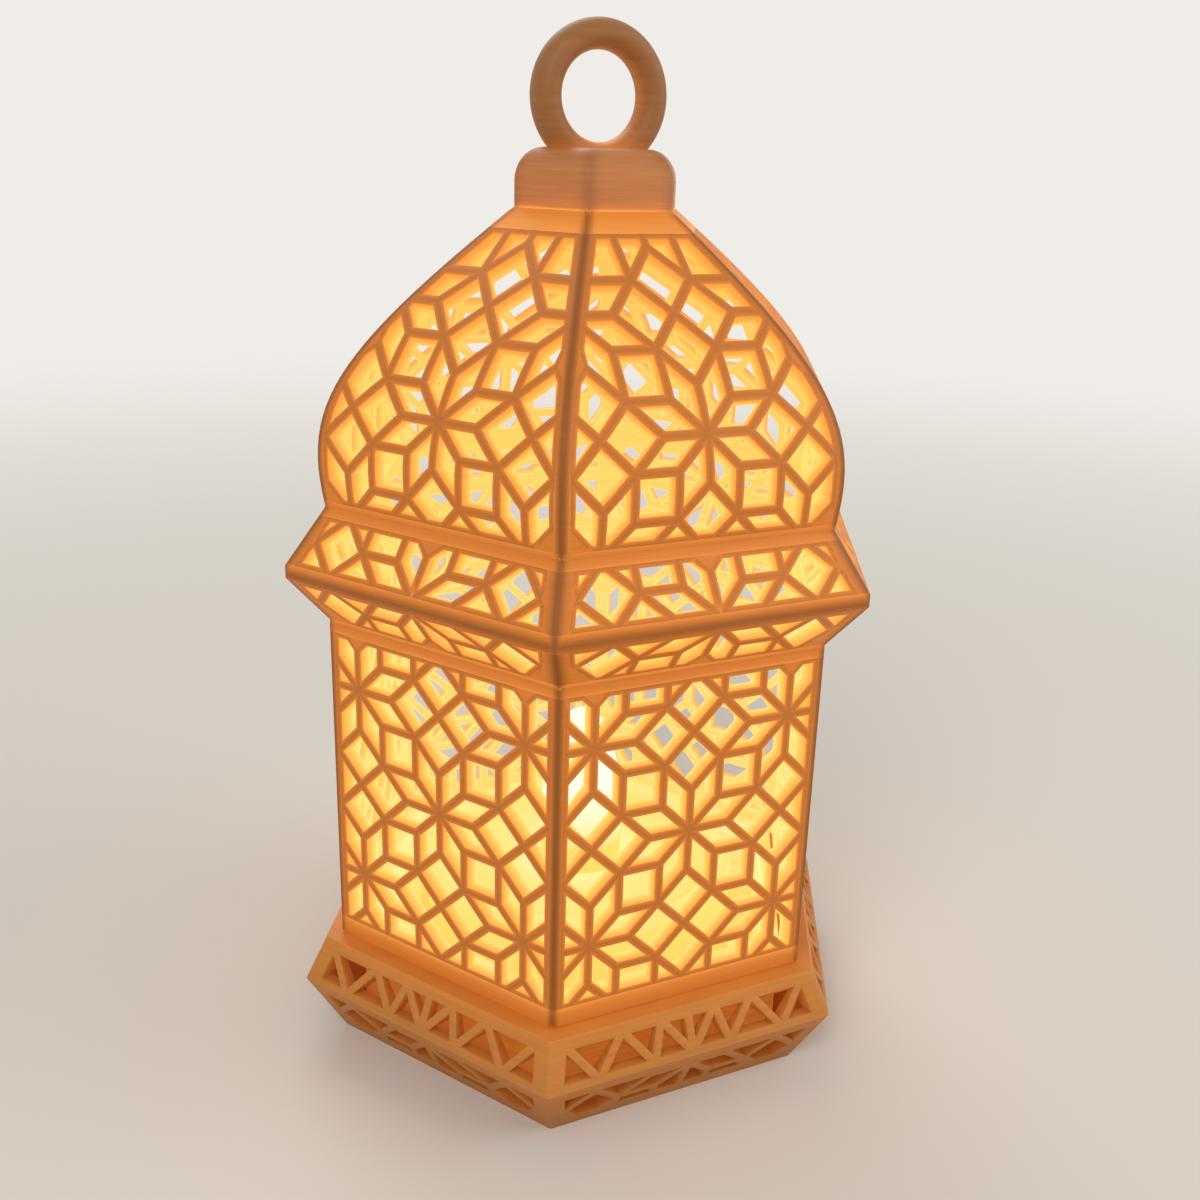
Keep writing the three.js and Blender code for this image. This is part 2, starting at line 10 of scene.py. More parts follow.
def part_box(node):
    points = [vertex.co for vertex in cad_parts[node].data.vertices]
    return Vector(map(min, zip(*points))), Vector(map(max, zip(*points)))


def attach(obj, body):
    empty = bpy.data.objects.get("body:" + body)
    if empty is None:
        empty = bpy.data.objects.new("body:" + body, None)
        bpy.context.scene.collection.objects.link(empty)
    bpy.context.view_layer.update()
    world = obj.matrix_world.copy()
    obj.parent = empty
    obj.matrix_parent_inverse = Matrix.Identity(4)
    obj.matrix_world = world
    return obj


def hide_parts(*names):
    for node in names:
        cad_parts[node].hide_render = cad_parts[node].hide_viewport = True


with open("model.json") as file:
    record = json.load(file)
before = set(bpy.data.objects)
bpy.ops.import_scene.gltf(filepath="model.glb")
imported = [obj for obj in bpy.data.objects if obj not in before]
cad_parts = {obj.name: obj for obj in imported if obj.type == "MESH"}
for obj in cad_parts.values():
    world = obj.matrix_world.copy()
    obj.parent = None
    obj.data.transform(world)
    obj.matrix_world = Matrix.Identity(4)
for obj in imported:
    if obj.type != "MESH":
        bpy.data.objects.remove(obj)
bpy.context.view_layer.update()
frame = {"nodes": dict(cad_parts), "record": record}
print("frame loaded,", len(frame["nodes"]), "nodes")

# sizes are in millimetres: heights above the table, and radii from the axis to a corner

mm = 0.001
sides = 6
toFlat = math.cos(math.pi / sides)  # corner radius to flat radius
toSide = math.tan(math.pi / sides)  # flat radius to half a side

lantern = {
    "cornerRadius": 30.0, "ridgeRadius": 34.4, "ledgeRadius": 31.8, "capRadius": 9.4,
    "baseRidge": 7.4, "ledge": 12.4, "bodyTop": 50.4, "skirtRidge": 55.8, "ridgeFlat": 1.3,
    "skirtTop": 62.9, "domeTop": 92.6, "wall": 1.5, "seam": 0.3,
}
pattern = {"edge": 4.59, "strut": 1.0, "smallest": 0.2}

wall, seam = lantern["wall"], lantern["seam"]
sideGap = seam / 2 / toFlat  # from a corner to the edge of the panel beside it
halfStrut = pattern["strut"] / 2

# light through the plastic, from 0 for none to 1; a strut has one value for each step of its profile,
# from its outer middle line over its edge and down the hole's wall to its inner middle line
glowSpec = {
    "strut": [0.12, 0.3, 0.42, 0.58, 0.88, 1.0, 0.85, 0.84], "closedOutside": 0.3, "closedInside": 0.9,
    "inside": 0.85, "border": 0.2, "borderEdge": 0.38, "creep": 0.9,
    "strip": 0.2, "stripEdge": 0.12, "stripCreep": 0.35,
    "flameLow": 20.0, "flameHigh": 34.0, "reach": 125.0,
}


# surfaces


def numberGrid(rows, columns, closed):
    # corner numbers of the quads of a grid of rows by columns; closed joins the last row to the first
    number = np.arange(rows * columns).reshape(rows, columns)
    following = np.roll(number, -1, axis=0)
    if not closed:
        number, following = number[:-1], following[:-1]
    quads = np.stack([number[:, :-1], following[:, :-1], following[:, 1:], number[:, 1:]], -1)
    return quads.reshape(-1, 4)


def joinGrids(grids):
    # each grid is points of shape (any, rows, columns, 3), whether its last row joins its first, and
    # how much each point glows and is shaded; all become one surface
    points, faces, glows, shades, count = [], [], [], [], 0
    for place, closed, glow, shade in grids:
        rows, columns = place.shape[-3:-1]
        quads = numberGrid(rows, columns, closed)
        step = np.arange(place[..., 0].size // (rows * columns)) * rows * columns + count
        faces.append((quads[None] + step[:, None, None]).reshape(-1, 4))
        points.append(place.reshape(-1, 3))
        glows.append(np.broadcast_to(glow, place.shape[:-1]).reshape(-1))
        shades.append(np.broadcast_to(shade, place.shape[:-1]).reshape(-1))
        count += place[..., 0].size
    marks = {"glow": np.concatenate(glows), "shade": np.concatenate(shades)}
    return np.concatenate(points), np.concatenate(faces), marks


meshSpec = {"merge": 2e-7, "thinnest": 1e-7, "sharpAngle": 35}  # metres and degrees


def makePiece(name, grids, material, body, replaced):
    # one mesh of all the grids, merged along their seams and smooth but for its sharp edges
    points, faces, marks = joinGrids(grids)
    mesh = bpy.data.meshes.new(name)
    mesh.from_pydata((points * mm).tolist(), [], faces.tolist())
    for label, value in marks.items():
        mesh.attributes.new(label, "FLOAT", "POINT").data.foreach_set("value", value.astype(np.float32))
    shape = bmesh.new()
    shape.from_mesh(mesh)
    bmesh.ops.remove_doubles(shape, verts=shape.verts, dist=meshSpec["merge"])
    bmesh.ops.dissolve_degenerate(shape, edges=shape.edges, dist=meshSpec["thinnest"])
    shape.to_mesh(mesh)
    shape.free()
    mesh.validate()
    mesh.shade_smooth()
    mesh.set_sharp_from_angle(angle=math.radians(meshSpec["sharpAngle"]))
    mesh.materials.append(material)
    piece = bpy.data.objects.new(name, mesh)
    bpy.context.scene.collection.objects.link(piece)
    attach(piece, body)
    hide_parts(*replaced)
    print(name, "made,", len(mesh.polygons), "faces")


def heightLight(z):
    # light falls off as 1 / (1 + the square of the height past the flame's ends over the reach)
    away = np.maximum(0, np.maximum(glowSpec["flameLow"] - z, z - glowSpec["flameHigh"]))
    return 1 / (1 + (away / glowSpec["reach"]) ** 2)


def roundEachSide(place):
    # six copies of a side that faces -Y, each turned a sixth of a turn further about Z
    turn = np.arange(sides) * math.pi * 2 / sides
    cosine, sine = np.cos(turn), np.sin(turn)
    zero, one = np.zeros(sides), np.ones(sides)
    matrix = np.stack([cosine, -sine, zero, sine, cosine, zero, zero, zero, one], -1).reshape(sides, 3, 3)
    return np.einsum("kab,...b->k...a", matrix, place)


def sixSides(place, closed, glow, shade=0.0):
    ring = roundEachSide(place)
    return ring, closed, np.broadcast_to(glow, ring.shape[:-1]) * heightLight(ring[..., 2]), shade


# sheets: a side of the lantern between an outer and an inner outline

sheetSpec = {"flatEnough": 0.5, "cornerRound": 0.45, "sharpest": 1e-4, "mitreMargin": 3 * wall}


def makeSheet(outline, rows=None):
    # outline: corner radius and height pairs; the inner face is the same line one wall further in;
    # rows: where on the drawing each pair lies, its distance along the line unless given
    outer = np.array(outline, float) * [toFlat, 1]
    along = np.diff(outer, axis=0)
    length = np.linalg.norm(along, axis=1, keepdims=True)
    inward = np.stack([-along[:, 1], along[:, 0]], -1) / length * wall
    total = np.vstack([inward[:1], inward]) + np.vstack([inward, inward[-1:]])
    inner = outer + total * 2 * wall ** 2 / (total ** 2).sum(1, keepdims=True)
    for end in (0, -1):  # the ends are cut level, or upright where the sheet itself is nearly level
        radial, upward = inward[end]
        steep = abs(radial) >= sheetSpec["flatEnough"] * abs(upward)
        inner[end] = outer[end] + ([wall ** 2 / radial, 0] if steep else [0, wall ** 2 / upward])
    if rows is None:
        rows = np.concatenate([[0], np.cumsum(length)])
    return {"outer": outer, "inner": inner, "rows": np.asarray(rows, float)}


def sheetWidth(sheet, y):
    return np.interp(y, sheet["rows"], sheet["outer"][:, 0]) * toSide


def onSheet(sheet, x, y, depth):
    # a drawn point goes out along its level line; near a corner it is drawn in to the mitre by the
    # square of its share of the margin, and the last bit before the mitre turns on an arc
    share = np.asarray(depth / wall)
    outer, inner = (
        np.stack([np.interp(y, sheet["rows"], sheet[face][:, k]) for k in (0, 1)], -1)
        for face in ("outer", "inner")
    )
    between = outer + (inner - outer) * share[..., None]
    flat, height = between[..., 0], between[..., 1]
    half = outer[..., 0] * toSide
    margin = np.minimum(sheetSpec["mitreMargin"], half / 2)
    past = np.maximum(0, np.abs(x) - (half - margin)) / margin
    across = np.abs(x) - past ** 2 * (half - flat * toSide)
    radius = np.maximum(sheetSpec["cornerRound"] * (1 - share), sheetSpec["sharpest"])
    limit = flat * toSide - radius * toSide
    angle = np.clip((across - limit) / (radius * toSide), 0, 1) * math.pi / sides
    across = np.minimum(across, limit) + radius * np.sin(angle)
    flat = flat - radius * (1 - np.cos(angle))
    return np.stack([np.sign(x) * across, -flat, height], -1)


# pierced pattern


def wallLines(start, end):
    # the line from start to end, with the tile on its left: outward direction and distance
    along = end - start
    outward = np.stack([along[..., 1], -along[..., 0]], -1) / np.linalg.norm(along, axis=-1, keepdims=True)
    return np.concatenate([outward, (outward * start).sum(-1, keepdims=True)], -1)


def tileLines(corners):
    return wallLines(corners, np.roll(corners, -1, axis=-2))


def eighthRay(k):
    angle = np.asarray(k) * math.pi / 4
    return np.stack([np.cos(angle), np.sin(angle)], -1)


def starTiles(star, reach):
    # round each star's centre eight rhombi and two squares, and four turned squares between the stars
    tile = lambda start, one, two: start[:, None] + np.stack([one * 0, one, one + two, two], 1)
    period = 2 + 2 * math.sqrt(2)
    count = math.ceil(reach / (period * pattern["edge"])) + 1
    grid = np.stack(np.mgrid[-count:count + 1, -count:count + 1], -1).reshape(-1, 2) * period
    centres = np.concatenate([grid, grid + period / 2])
    middles = np.concatenate([grid + [period / 2, 0], grid + [0, period / 2]])
    eight, odd = np.arange(8), np.arange(1, 8, 2)
    nowhere = np.zeros((8, 2))
    rhombiAndSquares = np.concatenate([
        tile(nowhere, eighthRay(eight), eighthRay(eight + 1)),
        tile(eighthRay([1, 3]), eighthRay([0, 2]), eighthRay([2, 4])),
    ])
    turnedSquares = tile(nowhere[:4], eighthRay(odd), eighthRay(odd + 2))
    tiles = np.concatenate([
        (centres[:, None, None] + rhombiAndSquares).reshape(-1, 4, 2),
        (middles[:, None, None] + turnedSquares).reshape(-1, 4, 2),
    ])
    tiles = tiles * pattern["edge"] + [0, star]
    return tiles[np.abs(tiles.mean(1) - [0, star]).max(1) < reach + pattern["edge"]]


def flipLines(lines, height):
    # the same lines with up and down changed about half the height
    flipped = lines * [1, -1, 1]
    flipped[..., 2] -= lines[..., 1] * height
    return flipped


def flipPoints(points, height):
    return points * [1, -1] + [0, height]


def bandOpening(low, high, height, frameSide, bottom, top):
    # four corners of the opening in a band whose half width goes from low to high
    width = lambda y: low + (high - low) * y / height - frameSide
    y0, y1 = bottom, height - top
    return np.array([[-width(y0), y0], [width(y0), y0], [width(y1), y1], [-width(y1), y1]])


cellSpec = {
    "firstPush": 2, "lastPush": 0.005, "pushes": 110, "leastRoom": 0.04, "parallel": 1e-6,
    "touch": 1e-5, "leastFacing": 1e-7,
}


def cellsOf(spec, lines, opening, starts):
    # every tile becomes a ring round its hole: in each direction from the middle the hole reaches
    # the nearest of its walls, and the ring goes half a strut further, to the strut's middle line
    edges = tileLines(opening)
    edges[:, 2] += halfStrut
    walls = np.concatenate([lines, np.broadcast_to(edges, (len(lines), *edges.shape))], 1)
    room = lambda point, lines: lines[..., 2] - (lines[..., :2] * point[..., None, :]).sum(-1)
    middle = starts.copy()
    for push in np.geomspace(cellSpec["firstPush"], cellSpec["lastPush"], cellSpec["pushes"]):
        nearest = room(middle, walls).argmin(1)  # each middle is pushed off its nearest wall
        middle -= walls[np.arange(len(walls)), nearest, :2] * push
    free = room(middle, walls).min(1)
    kept = free > cellSpec["leastRoom"]
    walls, middle, free = walls[kept], middle[kept], free[kept]
    solid = free < halfStrut + pattern["smallest"]

    one, two = np.triu_indices(walls.shape[1], 1)
    first, second = walls[:, one], walls[:, two]
    cross = first[..., 0] * second[..., 1] - first[..., 1] * second[..., 0]
    cross = np.where(np.abs(cross) < cellSpec["parallel"], np.nan, cross)

    def cornerAngles(inset):
        a, b = first[..., 2] - inset, second[..., 2] - inset
        across = a * second[..., 1] - b * first[..., 1]
        upward = first[..., 0] * b - second[..., 0] * a
        spot = np.stack([across, upward], -1) / cross[..., None]
        within = (room(spot, walls[:, None]) - inset).min(-1) > -cellSpec["touch"]
        angle = np.arctan2(spot[..., 1] - middle[:, None, 1], spot[..., 0] - middle[:, None, 0])
        angle = np.sort(np.where(within, angle, -math.pi), axis=1)
        most = int(within.sum(1).max())
        return angle[:, angle.shape[1] - most:]

    even = np.linspace(-math.pi, math.pi, spec["rays"], endpoint=False)
    even = np.broadcast_to(even, (len(walls), spec["rays"]))
    rays = np.sort(np.concatenate([even, cornerAngles(0), cornerAngles(halfStrut)], 1), 1)
    toward = np.stack([np.cos(rays), np.sin(rays)], -1)
    facing = np.einsum("nra,nka->nrk", toward, walls[..., :2])
    clear = room(middle, walls)[:, None]

    def reach(inset):
        least = cellSpec["leastFacing"]
        return np.where(facing > least, (clear - inset) / np.maximum(facing, least), np.inf).min(-1)

    far, near = reach(0), np.where(solid[:, None], 0, reach(halfStrut))
    soft = spec["softEdge"]
    drop = soft * (1 - math.sqrt(0.5))
    share = 1 - np.array([halfStrut, soft, drop, 0, 0, drop, soft, halfStrut]) / halfStrut
    depth = np.array([0, 0, drop, soft, wall - soft, wall - drop, wall, wall])
    depth = np.where(solid[:, None], np.where(depth < wall / 2, 0, wall), depth)
    radius = far[..., None] + (near - far)[..., None] * share
    spot = middle[:, None, None] + toward[:, :, None] * radius[..., None]
    return spot, np.broadcast_to(depth[:, None], spot.shape[:3]), solid


def latticeGrid(spec, sheet, lines, opening, starts, lift=0.0):
    spot, depth, solid = cellsOf(spec, lines, opening, starts)
    place = onSheet(sheet, spot[..., 0], spot[..., 1] + lift, depth)
    glow = np.broadcast_to(glowSpec["strut"], depth.shape).copy()
    glow[solid] = np.where(depth[solid] > wall / 2, glowSpec["closedInside"], glowSpec["closedOutside"])
    return sixSides(place, True, glow)


def starLattice(spec, sheet, opening, star, lift=0.0, flip=None):
    # the stars behind an opening; flip turns the drawing upside down within that height
    tiles = starTiles(star, np.abs(opening - [0, star]).max())
    lines, starts = tileLines(tiles), tiles.mean(1)
    if flip:
        lines, starts = flipLines(lines, flip), flipPoints(starts, flip)
        opening = flipPoints(opening, flip)[::-1]
    return latticeGrid(spec, sheet, lines, opening, starts, lift)


# plain borders round the pattern

borderSpec = {
    "cornerShade": 0.85, "shadeWidth": 0.55, "crowding": 1.8,
    "stripSteps": np.concatenate([np.linspace(0, 0.7, 5), np.linspace(0.7, 1, 7)[1:]]),
    "bandSteps": np.concatenate([np.linspace(0, 0.94, 12), np.linspace(0.955, 1, 9)]),
}
# shares of a side's half width, closer together beside the corners
bandSteps = np.concatenate([-borderSpec["bandSteps"][:0:-1], borderSpec["bandSteps"]])


def cornerShade(away):
    # painted shade along the corner's edge, which is thicker and lets less light through: a bell curve of
    # the distance from it
    return borderSpec["cornerShade"] * np.exp(-(away / borderSpec["shadeWidth"]) ** 2)


def borderGlow(away, creep):
    # light creeps from the holes into a plain border and dies away exponentially
    return glowSpec["border"] + glowSpec["borderEdge"] * np.exp(-away / creep)


def latticeEnds(opening, lift=0.0):
    # the lattice ends half a strut past its opening
    return lift + opening[0, 1] - halfStrut, lift + opening[2, 1] + halfStrut


def openingEdge(opening, lift=0.0):
    # drawn half width of the lattice at a height
    low, high = opening[1], opening[2]
    slope = (high[0] - low[0]) / (high[1] - low[1])
    more = halfStrut * math.hypot(1, slope)
    return lambda y: low[0] + slope * (y - lift - low[1]) + more


def stripGrids(sheet, ends, edge, rows):
    # the plain strips beside a corner; edge gives the drawn half width where the lattice ends
    y = np.linspace(*ends, rows)[:, None]
    half, start = sheetWidth(sheet, y), edge(y)
    x = start + (half - start) * borderSpec["stripSteps"]
    outsideGlow = glowSpec["strip"] + glowSpec["stripEdge"] * np.exp(-(x - start) / glowSpec["stripCreep"])
    grids = []
    for sign in (1, -1):
        for depth in (0.0, wall):
            place = onSheet(sheet, sign * x, y + x * 0, x * 0 + depth)
            glow = glowSpec["inside"] + x * 0 if depth else outsideGlow
            shade = x * 0 if depth else cornerShade(half - x)
            if (sign > 0) != (depth > 0):
                place, glow, shade = place[::-1], glow[::-1], shade[::-1]
            grids.append(sixSides(place, False, glow, shade))
    return grids


def bandGrids(sheet, rows, away, dark=0.0, creep=glowSpec["creep"]):
    # a plain band right round the lantern, outside and inside; rows are drawn heights and away
    # their distances from the nearest opening
    rows, away = np.asarray(rows, float)[:, None], np.asarray(away, float)[:, None]
    half = sheetWidth(sheet, rows)
    x = half * bandSteps
    grids = []
    for depth in (0.0, wall):
        place = onSheet(sheet, x, rows + x * 0, x * 0 + depth)
        glow = glowSpec["inside"] + x * 0 if depth else borderGlow(away, creep) + x * 0
        # painted shade: the corner's bell curve, or dark where that is more, along each row of the outer
        # face
        shade = x * 0 if depth else np.maximum(cornerShade(half - np.abs(x)), np.reshape(dark, (-1, 1)))
        if not depth:
            place, glow, shade = place[:, ::-1], glow[:, ::-1], shade[:, ::-1]
        grids.append(sixSides(place, False, glow, shade))
    return grids


def rimGrid(sheet, end, away, creep=glowSpec["creep"]):
    # the edge of a sheet's first or last row, from its outer to its inner face; away and creep as
    # on the band that it closes
    row = sheet["rows"][end]
    share = np.linspace(0, 1, 3)[:, None]
    x = sheetWidth(sheet, row) * bandSteps + share * 0
    place = onSheet(sheet, x, x * 0 + row, share * wall + x * 0)
    glow = borderGlow(away, creep) * (1 - share) + glowSpec["inside"] * share + x * 0
    if end:
        place, glow = place[::-1], glow[::-1]
    return sixSides(place, False, glow)


def towards(start, end, count):
    # rows that crowd together near the end
    return end + (start - end) * np.linspace(1, 0, count) ** borderSpec["crowding"]


# materials


def newMaterial(name):
    material = bpy.data.materials.new(name)
    material.use_nodes = True
    nodes = material.node_tree.nodes
    return material, nodes, material.node_tree.links, nodes["Principled BSDF"]


def srgb(red, green, blue):
    # linear colour of one given in 0 to 255
    share = [value / 255 for value in (red, green, blue)]
    return tuple(v / 12.92 if v < 0.0404 else ((v + 0.055) / 1.055) ** 2.4 for v in share) + (1.0,)


def feedSocket(tree, socket, value):
    # value is the output of another node, or what the socket holds without one
    if isinstance(value, bpy.types.NodeSocket):
        tree.links.new(value, socket)
    else:
        socket.default_value = value


def mathNode(tree, operation, *values):
    node = tree.nodes.new("ShaderNodeMath")
    node.operation = operation
    for socket, value in zip(node.inputs, values):
        feedSocket(tree, socket, value)
    return node.outputs[0]


def colourMix(tree, factor, one, two, blend="MIX"):
    node = tree.nodes.new("ShaderNodeMix")
    node.data_type, node.blend_type = "RGBA", blend
    for label, value in {"Factor": factor, "A": one, "B": two}.items():
        feedSocket(tree, node.inputs[label], value)
    return node.outputs["Result"]


def pieceAttribute(tree, name):
    node = tree.nodes.new("ShaderNodeAttribute")
    node.attribute_name = name
    return node.outputs["Fac"]


def newGroup(name, inputs, outputs):
    # inputs: number sockets and their values; outputs: sockets and their kinds
    group = bpy.data.node_groups.new(name, "ShaderNodeTree")
    for label, value in inputs.items():
        socket = group.interface.new_socket(label, in_out="INPUT", socket_type="NodeSocketFloat")
        socket.default_value = value
    for label, kind in outputs.items():
        group.interface.new_socket(label, in_out="OUTPUT", socket_type=kind)
    return group, group.nodes.new("NodeGroupInput"), group.nodes.new("NodeGroupOutput")


def placeGroup(tree, group):
    node = tree.nodes.new("ShaderNodeGroup")
    node.node_tree = group
    return node


printSpec = {"layer": 0.0002, "stretch": (120, 120, 2600), "detail": 3, "waveShare": 0.35}  # metres


def printLines():
    # printed layers: a sine of the height, one wave a layer, with streaks drawn out along the layers;
    # gives a bump height and a mask of lighter and darker streaks
    kind = "NodeSocketFloat"
    group, start, end = newGroup("printLines", {"Layer": printSpec["layer"], "Streaks": 1.0},
                                 {"Height": kind, "Streak": kind})
    nodes, links = group.nodes, group.links
    place = nodes.new("ShaderNodeTexCoord")
    split = nodes.new("ShaderNodeSeparateXYZ")
    links.new(place.outputs["Object"], split.inputs[0])
    layers = mathNode(group, "DIVIDE", split.outputs["Z"], start.outputs["Layer"])
    sine = mathNode(group, "SINE", mathNode(group, "MULTIPLY", layers, 2 * math.pi))
    stretch = nodes.new("ShaderNodeMapping")
    stretch.inputs["Scale"].default_value = printSpec["stretch"]
    links.new(place.outputs["Object"], stretch.inputs["Vector"])
    streak = nodes.new("ShaderNodeTexNoise")
    streak.inputs["Scale"].default_value = 1
    streak.inputs["Detail"].default_value = printSpec["detail"]
    links.new(stretch.outputs[0], streak.inputs["Vector"])
    amount = mathNode(group, "MULTIPLY", streak.outputs["Fac"], start.outputs["Streaks"])
    links.new(mathNode(group, "MULTIPLY_ADD", sine, printSpec["waveShare"], amount), end.inputs["Height"])
    links.new(amount, end.inputs["Streak"])
    return group


warmStops = [
    (0.0, (0, 0, 0)), (0.15, (84, 38, 8)), (0.35, (172, 94, 30)),
    (0.6, (238, 164, 72)), (0.82, (252, 210, 104)), (1.0, (255, 244, 172)),
]


def warmLight():
    # light through the plastic: from nothing over deep orange and amber to pale yellow
    group, start, end = newGroup("warmLight", {"Light": 0.0}, {"Color": "NodeSocketColor"})
    ramp = group.nodes.new("ShaderNodeValToRGB")
    steps = ramp.color_ramp.elements
    for position, _ in warmStops[1:-1]:
        steps.new(position)
    for element, (position, colour) in zip(steps, warmStops):
        element.position, element.color = position, srgb(*colour)
    group.links.new(start.outputs["Light"], ramp.inputs["Fac"])
    group.links.new(ramp.outputs["Color"], end.inputs["Color"])
    return group


printLinesGroup, warmLightGroup = printLines(), warmLight()
plasticSpec = {
    "dim": -0.9, "deep": -0.55, "bump": 0.25, "bumpDistance": 0.00004, "roughness": 0.48, "gloss": 0.25,
}


def shellPlastic(name, colour, streaks=0.16, bump=plasticSpec["bump"]):
    # printed plastic with light in it: less daylight colour where it glows, and painted shade that
    # darkens both where the shade attribute is high, as at the thick corners, each varied by the streaks
    spec = plasticSpec
    material, nodes, links, shader = newMaterial(name)
    tree = material.node_tree
    lines, warm = placeGroup(tree, printLinesGroup), placeGroup(tree, warmLightGroup)
    light = pieceAttribute(tree, "glow")
    dim = mathNode(tree, "MULTIPLY_ADD", light, spec["dim"], 1.0)
    deep = mathNode(tree, "MULTIPLY_ADD", pieceAttribute(tree, "shade"), spec["deep"], 1.0)
    tone = mathNode(tree, "MULTIPLY_ADD", lines.outputs["Streak"], streaks, 1 - streaks / 2)
    lit = mathNode(tree, "MULTIPLY", mathNode(tree, "MULTIPLY", light, deep), tone)
    links.new(lit, warm.inputs["Light"])
    links.new(warm.outputs["Color"], shader.inputs["Emission Color"])
    shader.inputs["Emission Strength"].default_value = 1.0
    daylight = mathNode(tree, "MULTIPLY", mathNode(tree, "MULTIPLY", dim, deep), tone)
    tint = colourMix(tree, 1.0, srgb(*colour), daylight, "MULTIPLY")
    links.new(tint, shader.inputs["Base Color"])
    relief = nodes.new("ShaderNodeBump")
    relief.inputs["Strength"].default_value = bump
    relief.inputs["Distance"].default_value = spec["bumpDistance"]
    links.new(lines.outputs["Height"], relief.inputs["Height"])
    links.new(relief.outputs[0], shader.inputs["Normal"])
    shader.inputs["Roughness"].default_value = spec["roughness"]
    shader.inputs["Specular IOR Level"].default_value = spec["gloss"]
    material.cycles.emission_sampling = "NONE"
    return material


# one plastic throughout; the lattice's colour is a little darker and the ring's much darker, as painted
# shade
latticePlastic = shellPlastic("latticePlastic", (196, 118, 48))
plainPlastic = shellPlastic("plainPlastic", (208, 135, 61), 0.35)
capPlastic = shellPlastic("capPlastic", (196, 127, 75), 0.45)
ringShadedPlastic = shellPlastic("ringShadedPlastic", (152, 102, 58), 0.35)
lightPlastic = shellPlastic("lightPlastic", (226, 186, 120), 0.05, 0.05)

mottleSpec = {"scale": 900, "roughness": 0.08, "darker": 0.9}


def plainFinish(name, colour, roughness, metallic=0.0, light=None, foot=None):
    # a moulded or metal finish with fine mottling; foot is the colour of its light where glow is 0
    material, nodes, links, shader = newMaterial(name)
    tree = material.node_tree
    place = nodes.new("ShaderNodeTexCoord")
    speck = nodes.new("ShaderNodeTexNoise")
    speck.inputs["Scale"].default_value = mottleSpec["scale"]
    links.new(place.outputs["Object"], speck.inputs["Vector"])
    vary = nodes.new("ShaderNodeMapRange")
    vary.inputs["To Min"].default_value = roughness - mottleSpec["roughness"]
    vary.inputs["To Max"].default_value = roughness + mottleSpec["roughness"]
    links.new(speck.outputs["Fac"], vary.inputs["Value"])
    links.new(vary.outputs["Result"], shader.inputs["Roughness"])
    dark = srgb(*[channel * mottleSpec["darker"] for channel in colour])
    links.new(colourMix(tree, speck.outputs["Fac"], dark, srgb(*colour)), shader.inputs["Base Color"])
    shader.inputs["Metallic"].default_value = metallic
    if light:
        shader.inputs["Emission Color"].default_value = srgb(*light)
        shader.inputs["Emission Strength"].default_value = 1.0
        material.cycles.emission_sampling = "NONE"
    if foot:
        blend = colourMix(tree, pieceAttribute(tree, "glow"), srgb(*foot), srgb(*light))
        links.new(blend, shader.inputs["Emission Color"])
    return material


flamePlastic = plainFinish("flamePlastic", (150, 130, 90), 0.5, light=(255, 252, 232), foot=(250, 196, 88))

# lantern sides


def panelNames(kind):
    return [f"{kind}_panel_{k + 1}" for k in range(sides)]


def panelWidth(radius):
    # half a panel's width, up to its seam
    return radius * toFlat * toSide - sideGap


bodySpec = {
    "frameSide": 1.1, "frameTop": 1.5, "frameBottom": 2.9, "star": 20.1, "rays": 14, "softEdge": 0.09,
    "stripRows": 24, "rowsBelow": 9, "rowsAbove": 6, "creepBelow": 1.2,
}


def bodySides():
    # an upright band: its radius stays the corner's from the ledge to the skirt
    spec, corner, top = bodySpec, lantern["cornerRadius"], lantern["bodyTop"]
    low = lantern["ledge"] + seam
    sheet = makeSheet([(corner, low), (corner, top + seam / 2)])
    width = panelWidth(corner)
    opening = bandOpening(width, width, top - low, spec["frameSide"], spec["frameBottom"] - seam,
                          spec["frameTop"])
    ends = latticeEnds(opening)
    grids = [starLattice(spec, sheet, opening, spec["star"] - seam)]
    grids += stripGrids(sheet, ends, openingEdge(opening), spec["stripRows"])
    last = sheet["rows"][-1]
    under = towards(0, ends[0], spec["rowsBelow"])
    over = towards(last, ends[1], spec["rowsAbove"])[::-1]
    grids += bandGrids(sheet, under, opening[0, 1] - under, creep=spec["creepBelow"])
    grids += bandGrids(sheet, over, over - opening[2, 1])
    grids.append(rimGrid(sheet, 0, opening[0, 1], spec["creepBelow"]))
    grids.append(rimGrid(sheet, -1, last - opening[2, 1]))
    makePiece("bodySides", grids, latticePlastic, "shell", panelNames("body"))


skirtSpec = {
    "frameSide": 1.8, "frameRidge": 0.8, "frameBottom": 0.8, "frameTop": 1.4, "rays": 14,
    "softEdge": 0.09, "stripRows": 8, "rowsAbove": 5, "ridgeRows": (3, 4, 3),
    "awayBelow": [0.8, 0.6, halfStrut],
    "ridgeShade": 0.8, "ridgeShadeRise": 0.3, "ridgeShadeWidth": 0.7,
}


